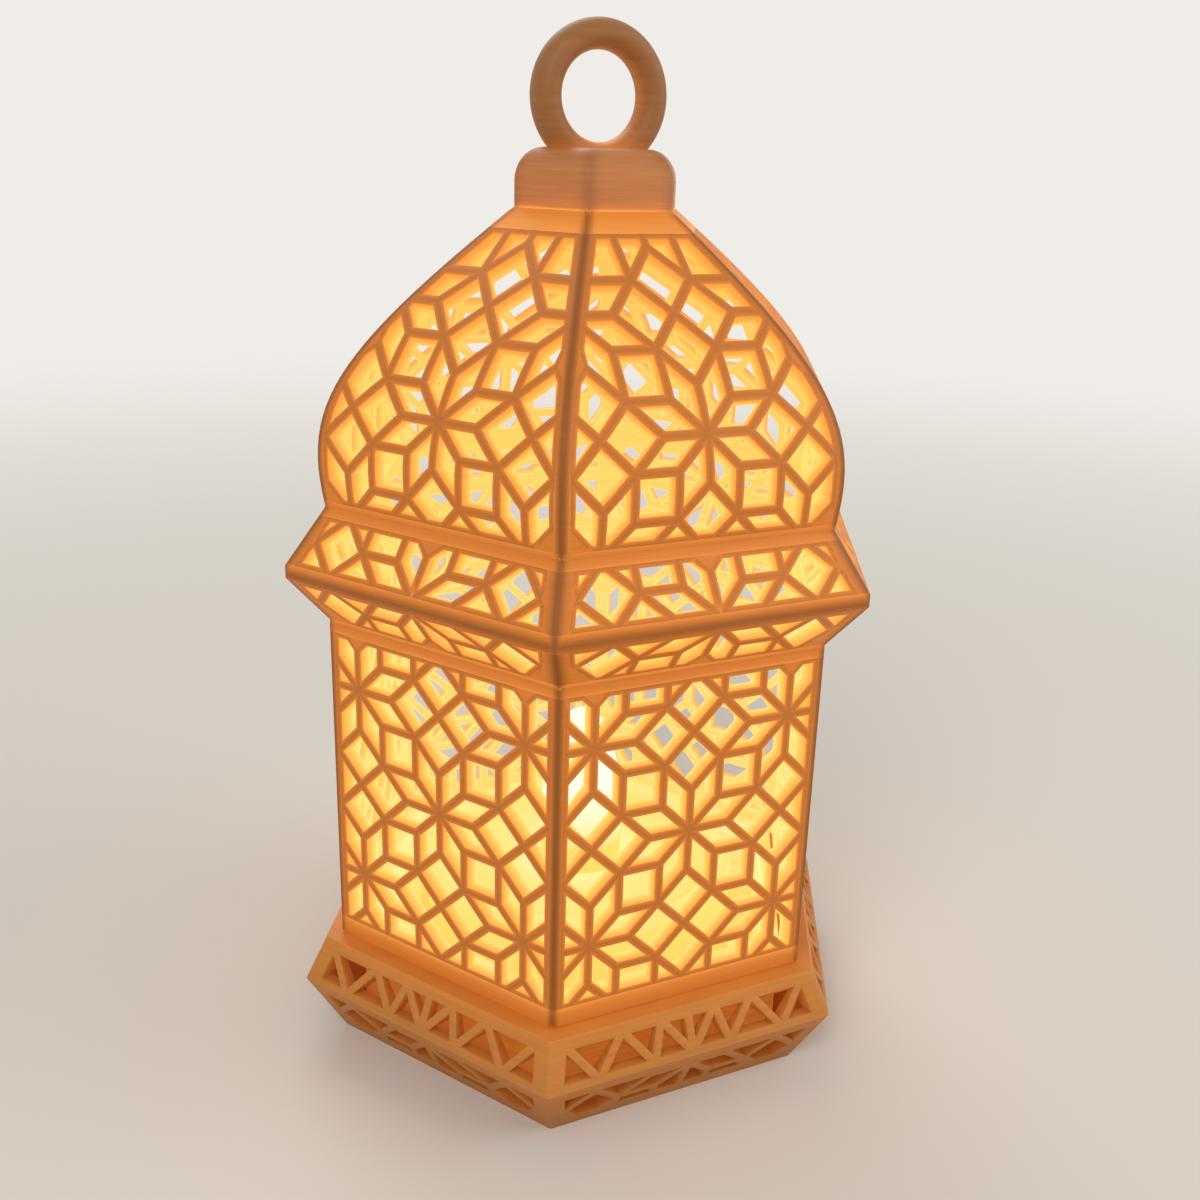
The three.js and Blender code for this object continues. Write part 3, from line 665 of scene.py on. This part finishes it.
def skirtSides():
    # two sloping bands with a flat ridge between them, and short upright ends
    spec, corner, ridge = skirtSpec, lantern["cornerRadius"], lantern["ridgeRadius"]
    low, middle, top = lantern["bodyTop"], lantern["skirtRidge"], lantern["skirtTop"]
    sheet = makeSheet([
        (corner, low + seam / 2), (corner, low + seam), (ridge, middle),
        (ridge, middle + lantern["ridgeFlat"]), (corner, top), (corner, top + seam),
    ])
    rows = sheet["rows"]
    lowHeight, highHeight = rows[2] - rows[1], rows[4] - rows[3]
    wide, narrow = panelWidth(ridge), panelWidth(corner)
    under = bandOpening(wide, narrow, lowHeight, spec["frameSide"], spec["frameRidge"],
                        spec["frameBottom"])
    over = bandOpening(wide, narrow, highHeight, spec["frameSide"], spec["frameRidge"], spec["frameTop"])
    grids = [
        starLattice(spec, sheet, under, 0, rows[1], lowHeight),
        starLattice(spec, sheet, over, 0, rows[3]),
    ]
    underUp = flipPoints(under, lowHeight)[::-1]
    lows, highs = latticeEnds(underUp, rows[1]), latticeEnds(over, rows[3])
    grids += stripGrids(sheet, lows, openingEdge(underUp, rows[1]), spec["stripRows"])
    grids += stripGrids(sheet, highs, openingEdge(over, rows[3]), spec["stripRows"])
    below, level, above = spec["ridgeRows"]
    ridgeRows = np.concatenate([
        np.linspace(lows[1], rows[2], below), np.linspace(rows[2], rows[3], level)[1:],
        np.linspace(rows[3], highs[0], above)[1:],
    ])
    ridgeAway = np.minimum(ridgeRows - lows[1], highs[0] - ridgeRows) + halfStrut
    # painted shade along the ridge: a bell curve about a height just above its lower edge, passed to its
    # band as dark
    fromRidge = (ridgeRows - rows[2] - spec["ridgeShadeRise"]) / spec["ridgeShadeWidth"]
    topRows = np.concatenate([towards(rows[4], highs[1], spec["rowsAbove"])[::-1], rows[5:]])
    topAway = topRows - highs[1] + halfStrut
    grids += bandGrids(sheet, [rows[0], rows[1], lows[0]], spec["awayBelow"])
    grids += bandGrids(sheet, ridgeRows, ridgeAway, spec["ridgeShade"] * np.exp(-fromRidge ** 2))
    grids += bandGrids(sheet, topRows, topAway)
    grids += [rimGrid(sheet, 0, spec["awayBelow"][0]), rimGrid(sheet, -1, topAway[-1])]
    makePiece("skirtSides", grids, latticePlastic, "shell", panelNames("skirt"))


domeSpec = {
    "frameSide": 1.1, "frameBottom": 1.3, "frameTop": 2.4, "star": 10.8, "rays": 20, "softEdge": 0.09,
    "tilt": math.radians(8), "belly": (32, 73.4), "shoulder": (29, 78.2), "rows": 48,
    "stripRows": 28, "rowsBelow": 5, "rowsAbove": 8, "creepAbove": 5.0, "leastRow": 0.3, "slant": 1.02,
}


def domeSides():
    # each side follows a Bezier curve, drawn as seen square to the tilted plane of its pattern
    spec = domeSpec
    foot, top = lantern["skirtTop"], lantern["domeTop"]
    start, end = (lantern["cornerRadius"], foot + seam), (lantern["capRadius"], top)
    pulls = np.array([start, spec["belly"], spec["shoulder"], end], float)
    t = np.linspace(0, 1, spec["rows"] + 1)[:, None]
    curve = pulls[0] * (1 - t) ** 3 + 3 * pulls[1] * t * (1 - t) ** 2
    curve = curve + 3 * pulls[2] * t ** 2 * (1 - t) + pulls[3] * t ** 3
    flat = curve * [toFlat, 1]
    rows = flat[:, 1] * math.cos(spec["tilt"]) - flat[:, 0] * math.sin(spec["tilt"])
    sheet = makeSheet(curve, rows)
    rowAt = lambda z: float(np.interp(z, flat[:, 1], rows))
    low, high = rowAt(foot + spec["frameBottom"]), rowAt(top - spec["frameTop"])
    edge = lambda y: sheetWidth(sheet, y) - sideGap - spec["frameSide"]
    inner = rows[(rows > low + spec["leastRow"]) & (rows < high - spec["leastRow"])]
    steps = np.concatenate([[low], inner, [high]])
    right = np.stack([edge(steps), steps], -1)
    opening = np.concatenate([right, (right * [-1, 1])[::-1]])
    ends = low - halfStrut, high + halfStrut
    grids = [starLattice(spec, sheet, opening, rowAt(foot + spec["star"]))]
    grids += stripGrids(sheet, ends, lambda y: edge(y) + halfStrut * spec["slant"], spec["stripRows"])
    under = towards(rows[0], ends[0], spec["rowsBelow"])
    over = towards(rows[-1], ends[1], spec["rowsAbove"])[::-1]
    grids += bandGrids(sheet, under, low - under)
    grids += bandGrids(sheet, over, over - high, creep=spec["creepAbove"])
    grids += [rimGrid(sheet, 0, low - rows[0]), rimGrid(sheet, -1, rows[-1] - high, spec["creepAbove"])]
    makePiece("domeSides", grids, latticePlastic, "shell", panelNames("dome"))


baseSpec = {
    "frameSide": 1.8, "frameRidge": 0.8, "frameTop": 1.4, "frameBelow": 1.9, "rays": 14, "softEdge": 0.2,
    "stripRows": 8, "bandRows": (4, 4, 3, 4), "cupGap": 0.12, "away": 1.5, "middleShift": 1.5,
    "glow": 0.2, "ledgeGlow": 0.12, "ledgeReach": 3, "footShade": 0.6,
}
cupFlat = -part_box("base_cup")[0].y / mm  # from the axis to the cup's flat sides


def trussLines(low, high):
    # a post in the middle, then a zigzag towards each corner: the lines left and right of each hole
    edge, slant = pattern["edge"], pattern["edge"] / math.sqrt(2)
    past = 9 * edge
    feet = np.array([0, 0, edge, edge, edge + 2 * slant, edge + 2 * slant, past])
    heads = np.array([0, slant, slant, edge + slant, edge + slant, edge + 3 * slant, past])
    top = np.stack([heads, heads * 0 + high + halfStrut], -1)
    bottom = np.stack([feet, feet * 0 + low - halfStrut], -1)
    lines = np.stack([wallLines(top[:-1], bottom[:-1]), wallLines(bottom[1:], top[1:])], 1)
    starts = (top[:-1] + bottom[:-1]) / 2 + [baseSpec["middleShift"], 0]
    return np.concatenate([lines, lines * [-1, 1, 1]]), np.concatenate([starts, starts * [-1, 1]])


def baseSides():
    # a band that leans out, one that leans in above it, and a level ledge to the cup
    spec = baseSpec
    corner, ridge, ledge = lantern["cornerRadius"], lantern["ridgeRadius"], lantern["ledgeRadius"]
    sheet = makeSheet([
        (corner, 0), (ridge, lantern["baseRidge"]), (ledge, lantern["ledge"]),
        (cupFlat / toFlat + spec["cupGap"], lantern["ledge"]),
    ])
    rows = sheet["rows"]
    lowHeight, highHeight = rows[1] - rows[0], rows[2] - rows[1]
    wide = panelWidth(ridge)
    under = bandOpening(wide, panelWidth(corner), lowHeight, spec["frameSide"], spec["frameBelow"],
                        spec["frameBelow"])
    over = bandOpening(wide, panelWidth(ledge), highHeight, spec["frameSide"], spec["frameRidge"],
                       spec["frameTop"])
    lines, starts = trussLines(over[0, 1], over[2, 1])
    grids = [
        starLattice(spec, sheet, under, spec["frameBelow"], 0, lowHeight),
        latticeGrid(spec, sheet, lines, over, starts, rows[1]),
    ]
    underUp = flipPoints(under, lowHeight)[::-1]
    lows, highs = latticeEnds(underUp), latticeEnds(over, rows[1])
    grids += stripGrids(sheet, lows, openingEdge(underUp), spec["stripRows"])
    grids += stripGrids(sheet, highs, openingEdge(over, rows[1]), spec["stripRows"])
    foot, middle, upper, level = spec["bandRows"]
    bands = [
        np.linspace(0, lows[0], foot),
        np.concatenate([np.linspace(lows[1], rows[1], middle), [highs[0]]]),
        np.concatenate([np.linspace(highs[1], rows[2], upper), np.linspace(rows[2], rows[3], level)[1:]]),
    ]
    for band in bands:
        grids += bandGrids(sheet, band, band * 0 + spec["away"])
    grids += [rimGrid(sheet, 0, spec["away"]), rimGrid(sheet, -1, spec["away"])]

    def baseLight(place, closed, glow, shade):
        # only a little light reaches the base, most of it at the ledge, and painted shade darkens it
        # towards its foot
        z = place[..., 2]
        rise = np.clip(1 - (lantern["ledge"] - z) / spec["ledgeReach"], 0, 1)
        dark = spec["footShade"] * np.clip(1 - z / lantern["ledge"], 0, 1)
        return place, closed, glow * spec["glow"] + spec["ledgeGlow"] * rise, dark

    grids = [baseLight(*grid) for grid in grids]
    makePiece("baseSides", grids, plainPlastic, "base", panelNames("base"))


bodySides()
skirtSides()
domeSides()
baseSides()

# cap and hanging ring

hexSpec = {"turns": 144, "soft": 0.02, "leastRound": 1e-9}


def hexReach(angle, radius, soft):
    # distance from the axis to a hexagon's side in a direction; soft rounds its corners
    fromMiddle = np.abs((angle + math.pi / 3) % (math.pi / 3) - math.pi / 6)
    sharp = radius * toFlat / np.cos(fromMiddle)
    past = np.maximum(0, sharp - radius * (1 - soft))
    return sharp - past ** 2 / (radius * soft * 2 + hexSpec["leastRound"])


def roundAngles(count):
    return np.linspace(0, 2 * math.pi, count, endpoint=False)[:, None]


def aboutAxis(angle, radius, height):
    return np.stack([radius * np.cos(angle), radius * np.sin(angle), height + radius * 0 + angle * 0], -1)


capSpec = {
    "low": lantern["domeTop"], "side": 2.6, "shoulder": 3.3, "steps": 10, "soft": 0.05,
    "lid": (0.75, 0.5, 0.25, 0.0), "edgeGap": 0.1, "glow": 0.06, "glowSide": 0.16, "sideReach": 2.5,
    "glowFoot": 0.35, "footReach": 0.25, "glowInside": 0.8, "cornerShade": 0.42, "shadeWidth": 0.8,
    "topShade": 0.25, "shadeRise": 3,
}


def capPiece():
    # an upright hexagon whose top turns in on a quarter circle, hollow below
    spec, low, out = capSpec, capSpec["low"], lantern["capRadius"]
    shoulderLow, ceiling = low + spec["side"], low + seam + wall
    inside = out - wall / toFlat
    bend = np.linspace(0, math.pi / 2, spec["steps"])
    shoulder = out - spec["shoulder"] * (1 - np.cos(bend))
    rise = shoulderLow + spec["shoulder"] * np.sin(bend)
    sideRows = np.linspace(low + spec["edgeGap"], shoulderLow - spec["edgeGap"], spec["steps"])
    lid = shoulder[-1] * np.array(spec["lid"])
    hollow = [0, inside / 2, inside]
    radii = np.concatenate([hollow, [inside, out], shoulder * 0 + out, shoulder, lid])
    heights = np.concatenate([[ceiling] * 3, [low, low], sideRows, rise, lid * 0 + rise[-1]])
    angle = roundAngles(hexSpec["turns"]) + math.pi / 2
    reach = hexReach(angle, radii, spec["soft"])
    place = aboutAxis(angle, reach, heights)
    away = heights - low
    glow = spec["glow"] + spec["glowSide"] * np.exp(-away / spec["sideReach"])
    glow += spec["glowFoot"] * np.exp(-away / spec["footReach"])
    fromCorner = np.abs((angle + math.pi / 6) % (math.pi / 3) - math.pi / 6) * reach
    # painted shade: darker along the hexagon's corners and towards its top
    shade = spec["cornerShade"] * np.exp(-(fromCorner / spec["shadeWidth"]) ** 2)
    shade += spec["topShade"] * np.clip((away - spec["shadeRise"]) / spec["shadeRise"], 0, 1)
    within = len(hollow) + 1
    glow[:within], shade[:, :within] = spec["glowInside"], 0
    grids = [(place, True, glow + reach * 0, shade)]
    makePiece("capPiece", grids, capPlastic, "shell", ["cap"])


ringSpec = {
    "radius": 5.95, "thickness": 3.05, "width": 4.0, "centre": 103.5, "around": 96, "across": 40,
    "glow": 0.03, "glowInside": 0.2, "glowFoot": 0.25, "footReach": 1.2,
}


def ringPiece():
    # an oval carried round a circle that stands upright across the Y axis; light from the cap
    # rises in its foot and gathers along the inside of the circle
    spec = ringSpec
    around = roundAngles(spec["around"])
    across = np.linspace(0, 2 * math.pi, spec["across"] + 1)
    out = spec["radius"] + spec["thickness"] / 2 * np.cos(across)
    y = spec["width"] / 2 * np.sin(across) + around * 0
    place = np.stack([out * np.cos(around), y, spec["centre"] + out * np.sin(around)], -1)
    capTop = capSpec["low"] + capSpec["side"] + capSpec["shoulder"]
    foot = np.clip(np.exp(-(place[..., 2] - capTop) / spec["footReach"]), 0, 1)
    within = np.maximum(0, -np.cos(across)) ** 2
    glow = spec["glow"] + spec["glowInside"] * within + spec["glowFoot"] * foot
    grids = [(place[:, ::-1], True, glow[:, ::-1], 0.0)]
    makePiece("ringPiece", grids, ringShadedPlastic, "shell", ["hanging_ring"])


capPiece()
ringPiece()

# tea light and cup


def hexProfile(profile, turns=hexSpec["turns"]):
    # loops about Z one above the other: each is (how six-sided, radius, height, glow)
    angle = roundAngles(turns) + math.pi / 2
    six, radius, height, glow = np.array(profile, float).T
    reach = hexReach(angle, radius, hexSpec["soft"]) * six + radius * (1 - six)
    return aboutAxis(angle, reach, height), True, glow + reach * 0, 0.0


cupSpec = {
    "lip": 2.0, "floor": 1.2, "hole": 14.5, "collar": 18.8, "collarWall": 1.2, "collarTop": 4.2,
    "soft": 0.2, "wallLoop": 4,
}


def cupPiece():
    # a six-sided wall round a floor with a round hole and a collar
    spec = cupSpec
    soft, floor, hole = spec["soft"], spec["floor"], spec["hole"]
    outside = cupFlat / toFlat
    inside, rim = outside - wall / toFlat, lantern["ledge"] + spec["lip"]
    near, far, top = spec["collar"], spec["collar"] + spec["collarWall"], spec["collarTop"]
    underside = [
        (0, hole, soft, 0.6), (0, hole + soft, 0, 0.4), (0, near, 0, 0.2),
        (1, outside - 2 * soft, 0, 0.1),
    ]
    wallOutside = [
        (1, outside, soft, 0.2), (1, outside, lantern["baseRidge"], 0.28),
        (1, outside, lantern["ledge"], 0.4), (1, outside, rim - soft, 0.7),
        (1, outside - soft, rim, 0.85),
    ]
    wallInside = [
        (1, inside + soft, rim, 0.9), (1, inside, rim - soft, 0.92),
        (1, inside, rim - spec["wallLoop"], 0.9), (1, inside, floor, 0.8),
    ]
    collar = [
        (0, far, floor, 0.8), (0, far, top - soft, 0.86), (0, far - soft, top, 0.9),
        (0, near + soft, top, 0.9), (0, near, top - soft, 0.8), (0, near, floor, 0.6),
    ]
    floorHole = [(0, hole + soft, floor, 0.6), (0, hole, floor - soft, 0.6), (0, hole, soft, 0.6)]
    profile = underside + wallOutside + wallInside + collar + floorHole
    makePiece("cupPiece", [hexProfile(profile)], plainPlastic, "base", ["base_cup"])


def turnedPiece(name, profile, material, replaced, turns):
    # a closed line of (radius, height, glow) turned about the axis
    grids = [hexProfile([(0, *step) for step in profile], turns)]
    makePiece(name, grids, material, "tea_light", [replaced])


caseSpec = {
    "radius": 18.5, "bottom": 1.5, "height": 16.0, "wall": 1.0, "rim": 1.5, "edge": 0.5, "dish": 1.2,
    "edgeSteps": 6, "soft": 0.1, "holeSoft": 0.2, "sideLoop": 5, "dishLoop": 4, "turns": 96,
}
flameSpec = {
    "radius": 4.8, "height": 19.2, "bulge": 0.12, "foot": 16.3, "wall": 0.8, "steps": 24, "turns": 64,
    "flangeLow": 14.0, "flangeTop": 15.0, "flangeRadius": 6.2, "seat": 3.2,
    "swellPower": 0.75, "risePower": 1.25, "whiteSlope": 2.2, "whiteStart": 0.3, "whitePower": 0.7,
}


def casePiece():
    # a cup turned upside down, with a dished top round the flame's hole
    spec, soft = caseSpec, caseSpec["soft"]
    out, low, top = spec["radius"], spec["bottom"], spec["bottom"] + spec["height"]
    inside, dish, edge = out - spec["wall"], top - spec["dish"], spec["edge"]
    hole, under, rim = flameSpec["radius"] + seam, dish - spec["wall"], out - spec["rim"]
    bend = np.linspace(0, math.pi / 2, spec["edgeSteps"])
    shoulder = [(out - edge * (1 - math.cos(a)), top - edge * (1 - math.sin(a)), 0.86) for a in bend]
    holeSoft, sideLoop, dishLoop = spec["holeSoft"], low + spec["sideLoop"], hole + spec["dishLoop"]
    profile = [
        (inside, low, 0.5), (out - soft, low, 0.5), (out, low + soft, 0.55), (out, sideLoop, 0.66),
        *shoulder, (rim + soft, top, 0.9), (rim, top - soft, 0.9), (rim - spec["dish"], dish, 0.84),
        (dishLoop, dish, 0.88), (hole + holeSoft, dish, 0.97), (hole, dish - holeSoft, 0.95),
        (hole, under, 0.9), (inside - spec["dish"], under, 0.6), (inside, under - spec["dish"], 0.6),
        (inside, low, 0.5),
    ]
    turnedPiece("casePiece", profile, lightPlastic, "light_case", spec["turns"])


def flamePiece():
    # a drop that swells above its foot and closes in a soft point, hollow, on a flange; its radius
    # goes with a power of the cosine and its height with a power of the sine
    spec, wide, thin = flameSpec, flameSpec["radius"], flameSpec["wall"]
    t = np.linspace(0, math.pi / 2, spec["steps"])
    swell = np.cos(t) ** spec["swellPower"] * (1 + spec["bulge"] * np.sin(2 * t))
    rise = np.sin(t) ** spec["risePower"]
    whiteness = np.clip(rise * spec["whiteSlope"] - spec["whiteStart"], 0, 1) ** spec["whitePower"]
    foot, tall = spec["foot"], spec["height"]
    outside = np.stack([wide * swell, foot + tall * rise, whiteness], -1)
    inside = np.stack([(wide - thin) * swell, foot + (tall - thin) * rise, swell * 0 + 1], -1)
    low, top = spec["flangeLow"], spec["flangeTop"]
    line = [(wide - thin, top), (spec["seat"], top), (spec["seat"], low), (spec["flangeRadius"], low),
            (spec["flangeRadius"], top), (wide, top)]
    flange = [(radius, height, 0) for radius, height in line]
    profile = [*map(tuple, inside[::-1]), *flange, *map(tuple, outside)]
    turnedPiece("flamePiece", profile, flamePlastic, "flame_diffuser", spec["turns"])


cupPiece()
casePiece()
flamePiece()

finishes = {
    "shell_plastic": plainPlastic,
    "light_plastic": plainFinish("coverPlastic", (238, 233, 222), 0.45),
    "flame_plastic": flamePlastic,
    "led_resin": plainFinish("ledResin", (255, 206, 120), 0.15, light=(255, 220, 140)),
    "dark_plastic": plainFinish("darkPlastic", (40, 40, 42), 0.5),
    "steel": plainFinish("steelMetal", (186, 188, 192), 0.35, 1.0),
    "brass": plainFinish("brassMetal", (200, 164, 92), 0.35, 1.0),
}
for row in frame["record"]["subparts"]:
    materials = frame["nodes"][row["node"]].data.materials
    materials.clear()
    materials.append(finishes[row["material_slot"]])
print("finishes given to the nodes")

# stage, in metres and degrees

stageSpec = {
    "floorTurns": 96, "floorRings": 24, "floorMiddle": 1e-4, "floorStart": 0.02, "floorRadius": 1.2,
    "floorColour": (226, 220, 210), "floorRoughness": 0.9, "floorGloss": 0.1,
    "backColour": (240, 237, 232), "fade": (0.12, 0.55), "softLight": 0.42,
    "camera": (-0.0617, -0.12955, 0.09848), "turn": -26.10, "tilt": 18.96, "roll": 1.67,
    "lens": 39.42, "sensor": 36, "nearest": 0.005,
}
lampSpec = {  # place, aim, size and power
    "keyLamp": ((-0.45, -0.5, 0.6), (0, 0, 0.05), 0.5, 2.7),
    "fillLamp": ((0.6, -0.35, 0.35), (0, 0, 0.05), 0.6, 1.7),
    "backLamp": ((0.1, 0.6, 0.6), (0, 0, 0.06), 0.5, 1.6),
}


def makeFloor():
    # a disc of rings about the axis, which fades into the backdrop's colour further out
    spec = stageSpec
    angle = roundAngles(spec["floorTurns"])
    rings = np.geomspace(spec["floorStart"], spec["floorRadius"], spec["floorRings"])
    radius = np.concatenate([[spec["floorMiddle"]], rings])
    points = aboutAxis(angle, radius, 0).reshape(-1, 3)
    mesh = bpy.data.meshes.new("floorMesh")
    quads = numberGrid(len(angle), len(radius), True)[:, ::-1]
    mesh.from_pydata(points.tolist(), [], quads.tolist())
    floor = bpy.data.objects.new("studioFloor", mesh)
    bpy.context.scene.collection.objects.link(floor)
    material, nodes, links, shader = newMaterial("floorPaper")
    shader.inputs["Base Color"].default_value = srgb(*spec["floorColour"])
    shader.inputs["Roughness"].default_value = spec["floorRoughness"]
    shader.inputs["Specular IOR Level"].default_value = spec["floorGloss"]
    far = nodes.new("ShaderNodeEmission")
    far.inputs["Color"].default_value = srgb(*spec["backColour"])
    place = nodes.new("ShaderNodeTexCoord")
    length = nodes.new("ShaderNodeVectorMath")
    length.operation = "LENGTH"
    links.new(place.outputs["Object"], length.inputs[0])
    fade = nodes.new("ShaderNodeMapRange")
    fade.interpolation_type = "SMOOTHSTEP"
    fade.inputs["From Min"].default_value, fade.inputs["From Max"].default_value = spec["fade"]
    links.new(length.outputs["Value"], fade.inputs["Value"])
    mix = nodes.new("ShaderNodeMixShader")
    links.new(fade.outputs["Result"], mix.inputs["Fac"])
    links.new(shader.outputs[0], mix.inputs[1])
    links.new(far.outputs[0], mix.inputs[2])
    links.new(mix.outputs[0], nodes["Material Output"].inputs["Surface"])
    mesh.materials.append(material)


def makeLamp(name, place, aim, size, power):
    lamp = bpy.data.lights.new(name, "AREA")
    lamp.shape, lamp.size, lamp.energy = "DISK", size, power
    holder = bpy.data.objects.new(name, lamp)
    holder.location = place
    holder.rotation_mode = "QUATERNION"
    holder.rotation_quaternion = (Vector(aim) - Vector(place)).to_track_quat("-Z", "Y")
    bpy.context.scene.collection.objects.link(holder)


def makeWorld():
    # soft white light, and the backdrop's colour where it is seen directly, mirrored or through glass
    world = bpy.data.worlds.new("studio")
    bpy.context.scene.world = world
    world.use_nodes = True
    tree = world.node_tree
    nodes, links = tree.nodes, tree.links
    soft = nodes["Background"]
    soft.inputs["Color"].default_value = (1, 1, 1, 1)
    soft.inputs["Strength"].default_value = stageSpec["softLight"]
    back = nodes.new("ShaderNodeBackground")
    back.inputs["Color"].default_value = srgb(*stageSpec["backColour"])
    path = nodes.new("ShaderNodeLightPath")
    seen = mathNode(tree, "MAXIMUM", path.outputs["Is Camera Ray"], path.outputs["Is Glossy Ray"])
    seen = mathNode(tree, "MAXIMUM", seen, path.outputs["Is Transmission Ray"])
    mix = nodes.new("ShaderNodeMixShader")
    links.new(seen, mix.inputs["Fac"])
    links.new(soft.outputs[0], mix.inputs[1])
    links.new(back.outputs[0], mix.inputs[2])
    links.new(mix.outputs[0], nodes["World Output"].inputs["Surface"])


def makeCamera():
    # turn about Z from looking along +Y, then tilt down, then roll about the line of sight
    spec = stageSpec
    turn, tilt, roll = (math.radians(spec[k]) for k in ("turn", "tilt", "roll"))
    ahead = Vector((-math.sin(turn) * math.cos(tilt), math.cos(turn) * math.cos(tilt), -math.sin(tilt)))
    right = ahead.cross(Vector((0, 0, 1))).normalized()
    up = right.cross(ahead)
    across = right * math.cos(roll) + up * math.sin(roll)
    above = up * math.cos(roll) - right * math.sin(roll)
    data = bpy.data.cameras.new("photoCamera")
    data.lens, data.sensor_width, data.clip_start = spec["lens"], spec["sensor"], spec["nearest"]
    camera = bpy.data.objects.new("photoCamera", data)
    matrix = Matrix((across, above, -ahead)).transposed().to_4x4()
    matrix.translation = spec["camera"]
    camera.matrix_world = matrix
    bpy.context.scene.collection.objects.link(camera)
    bpy.context.scene.camera = camera


makeFloor()
makeWorld()
makeCamera()
for name, values in lampSpec.items():
    makeLamp(name, *values)
bpy.context.scene.view_settings.view_transform = "Standard"
print("stage set")
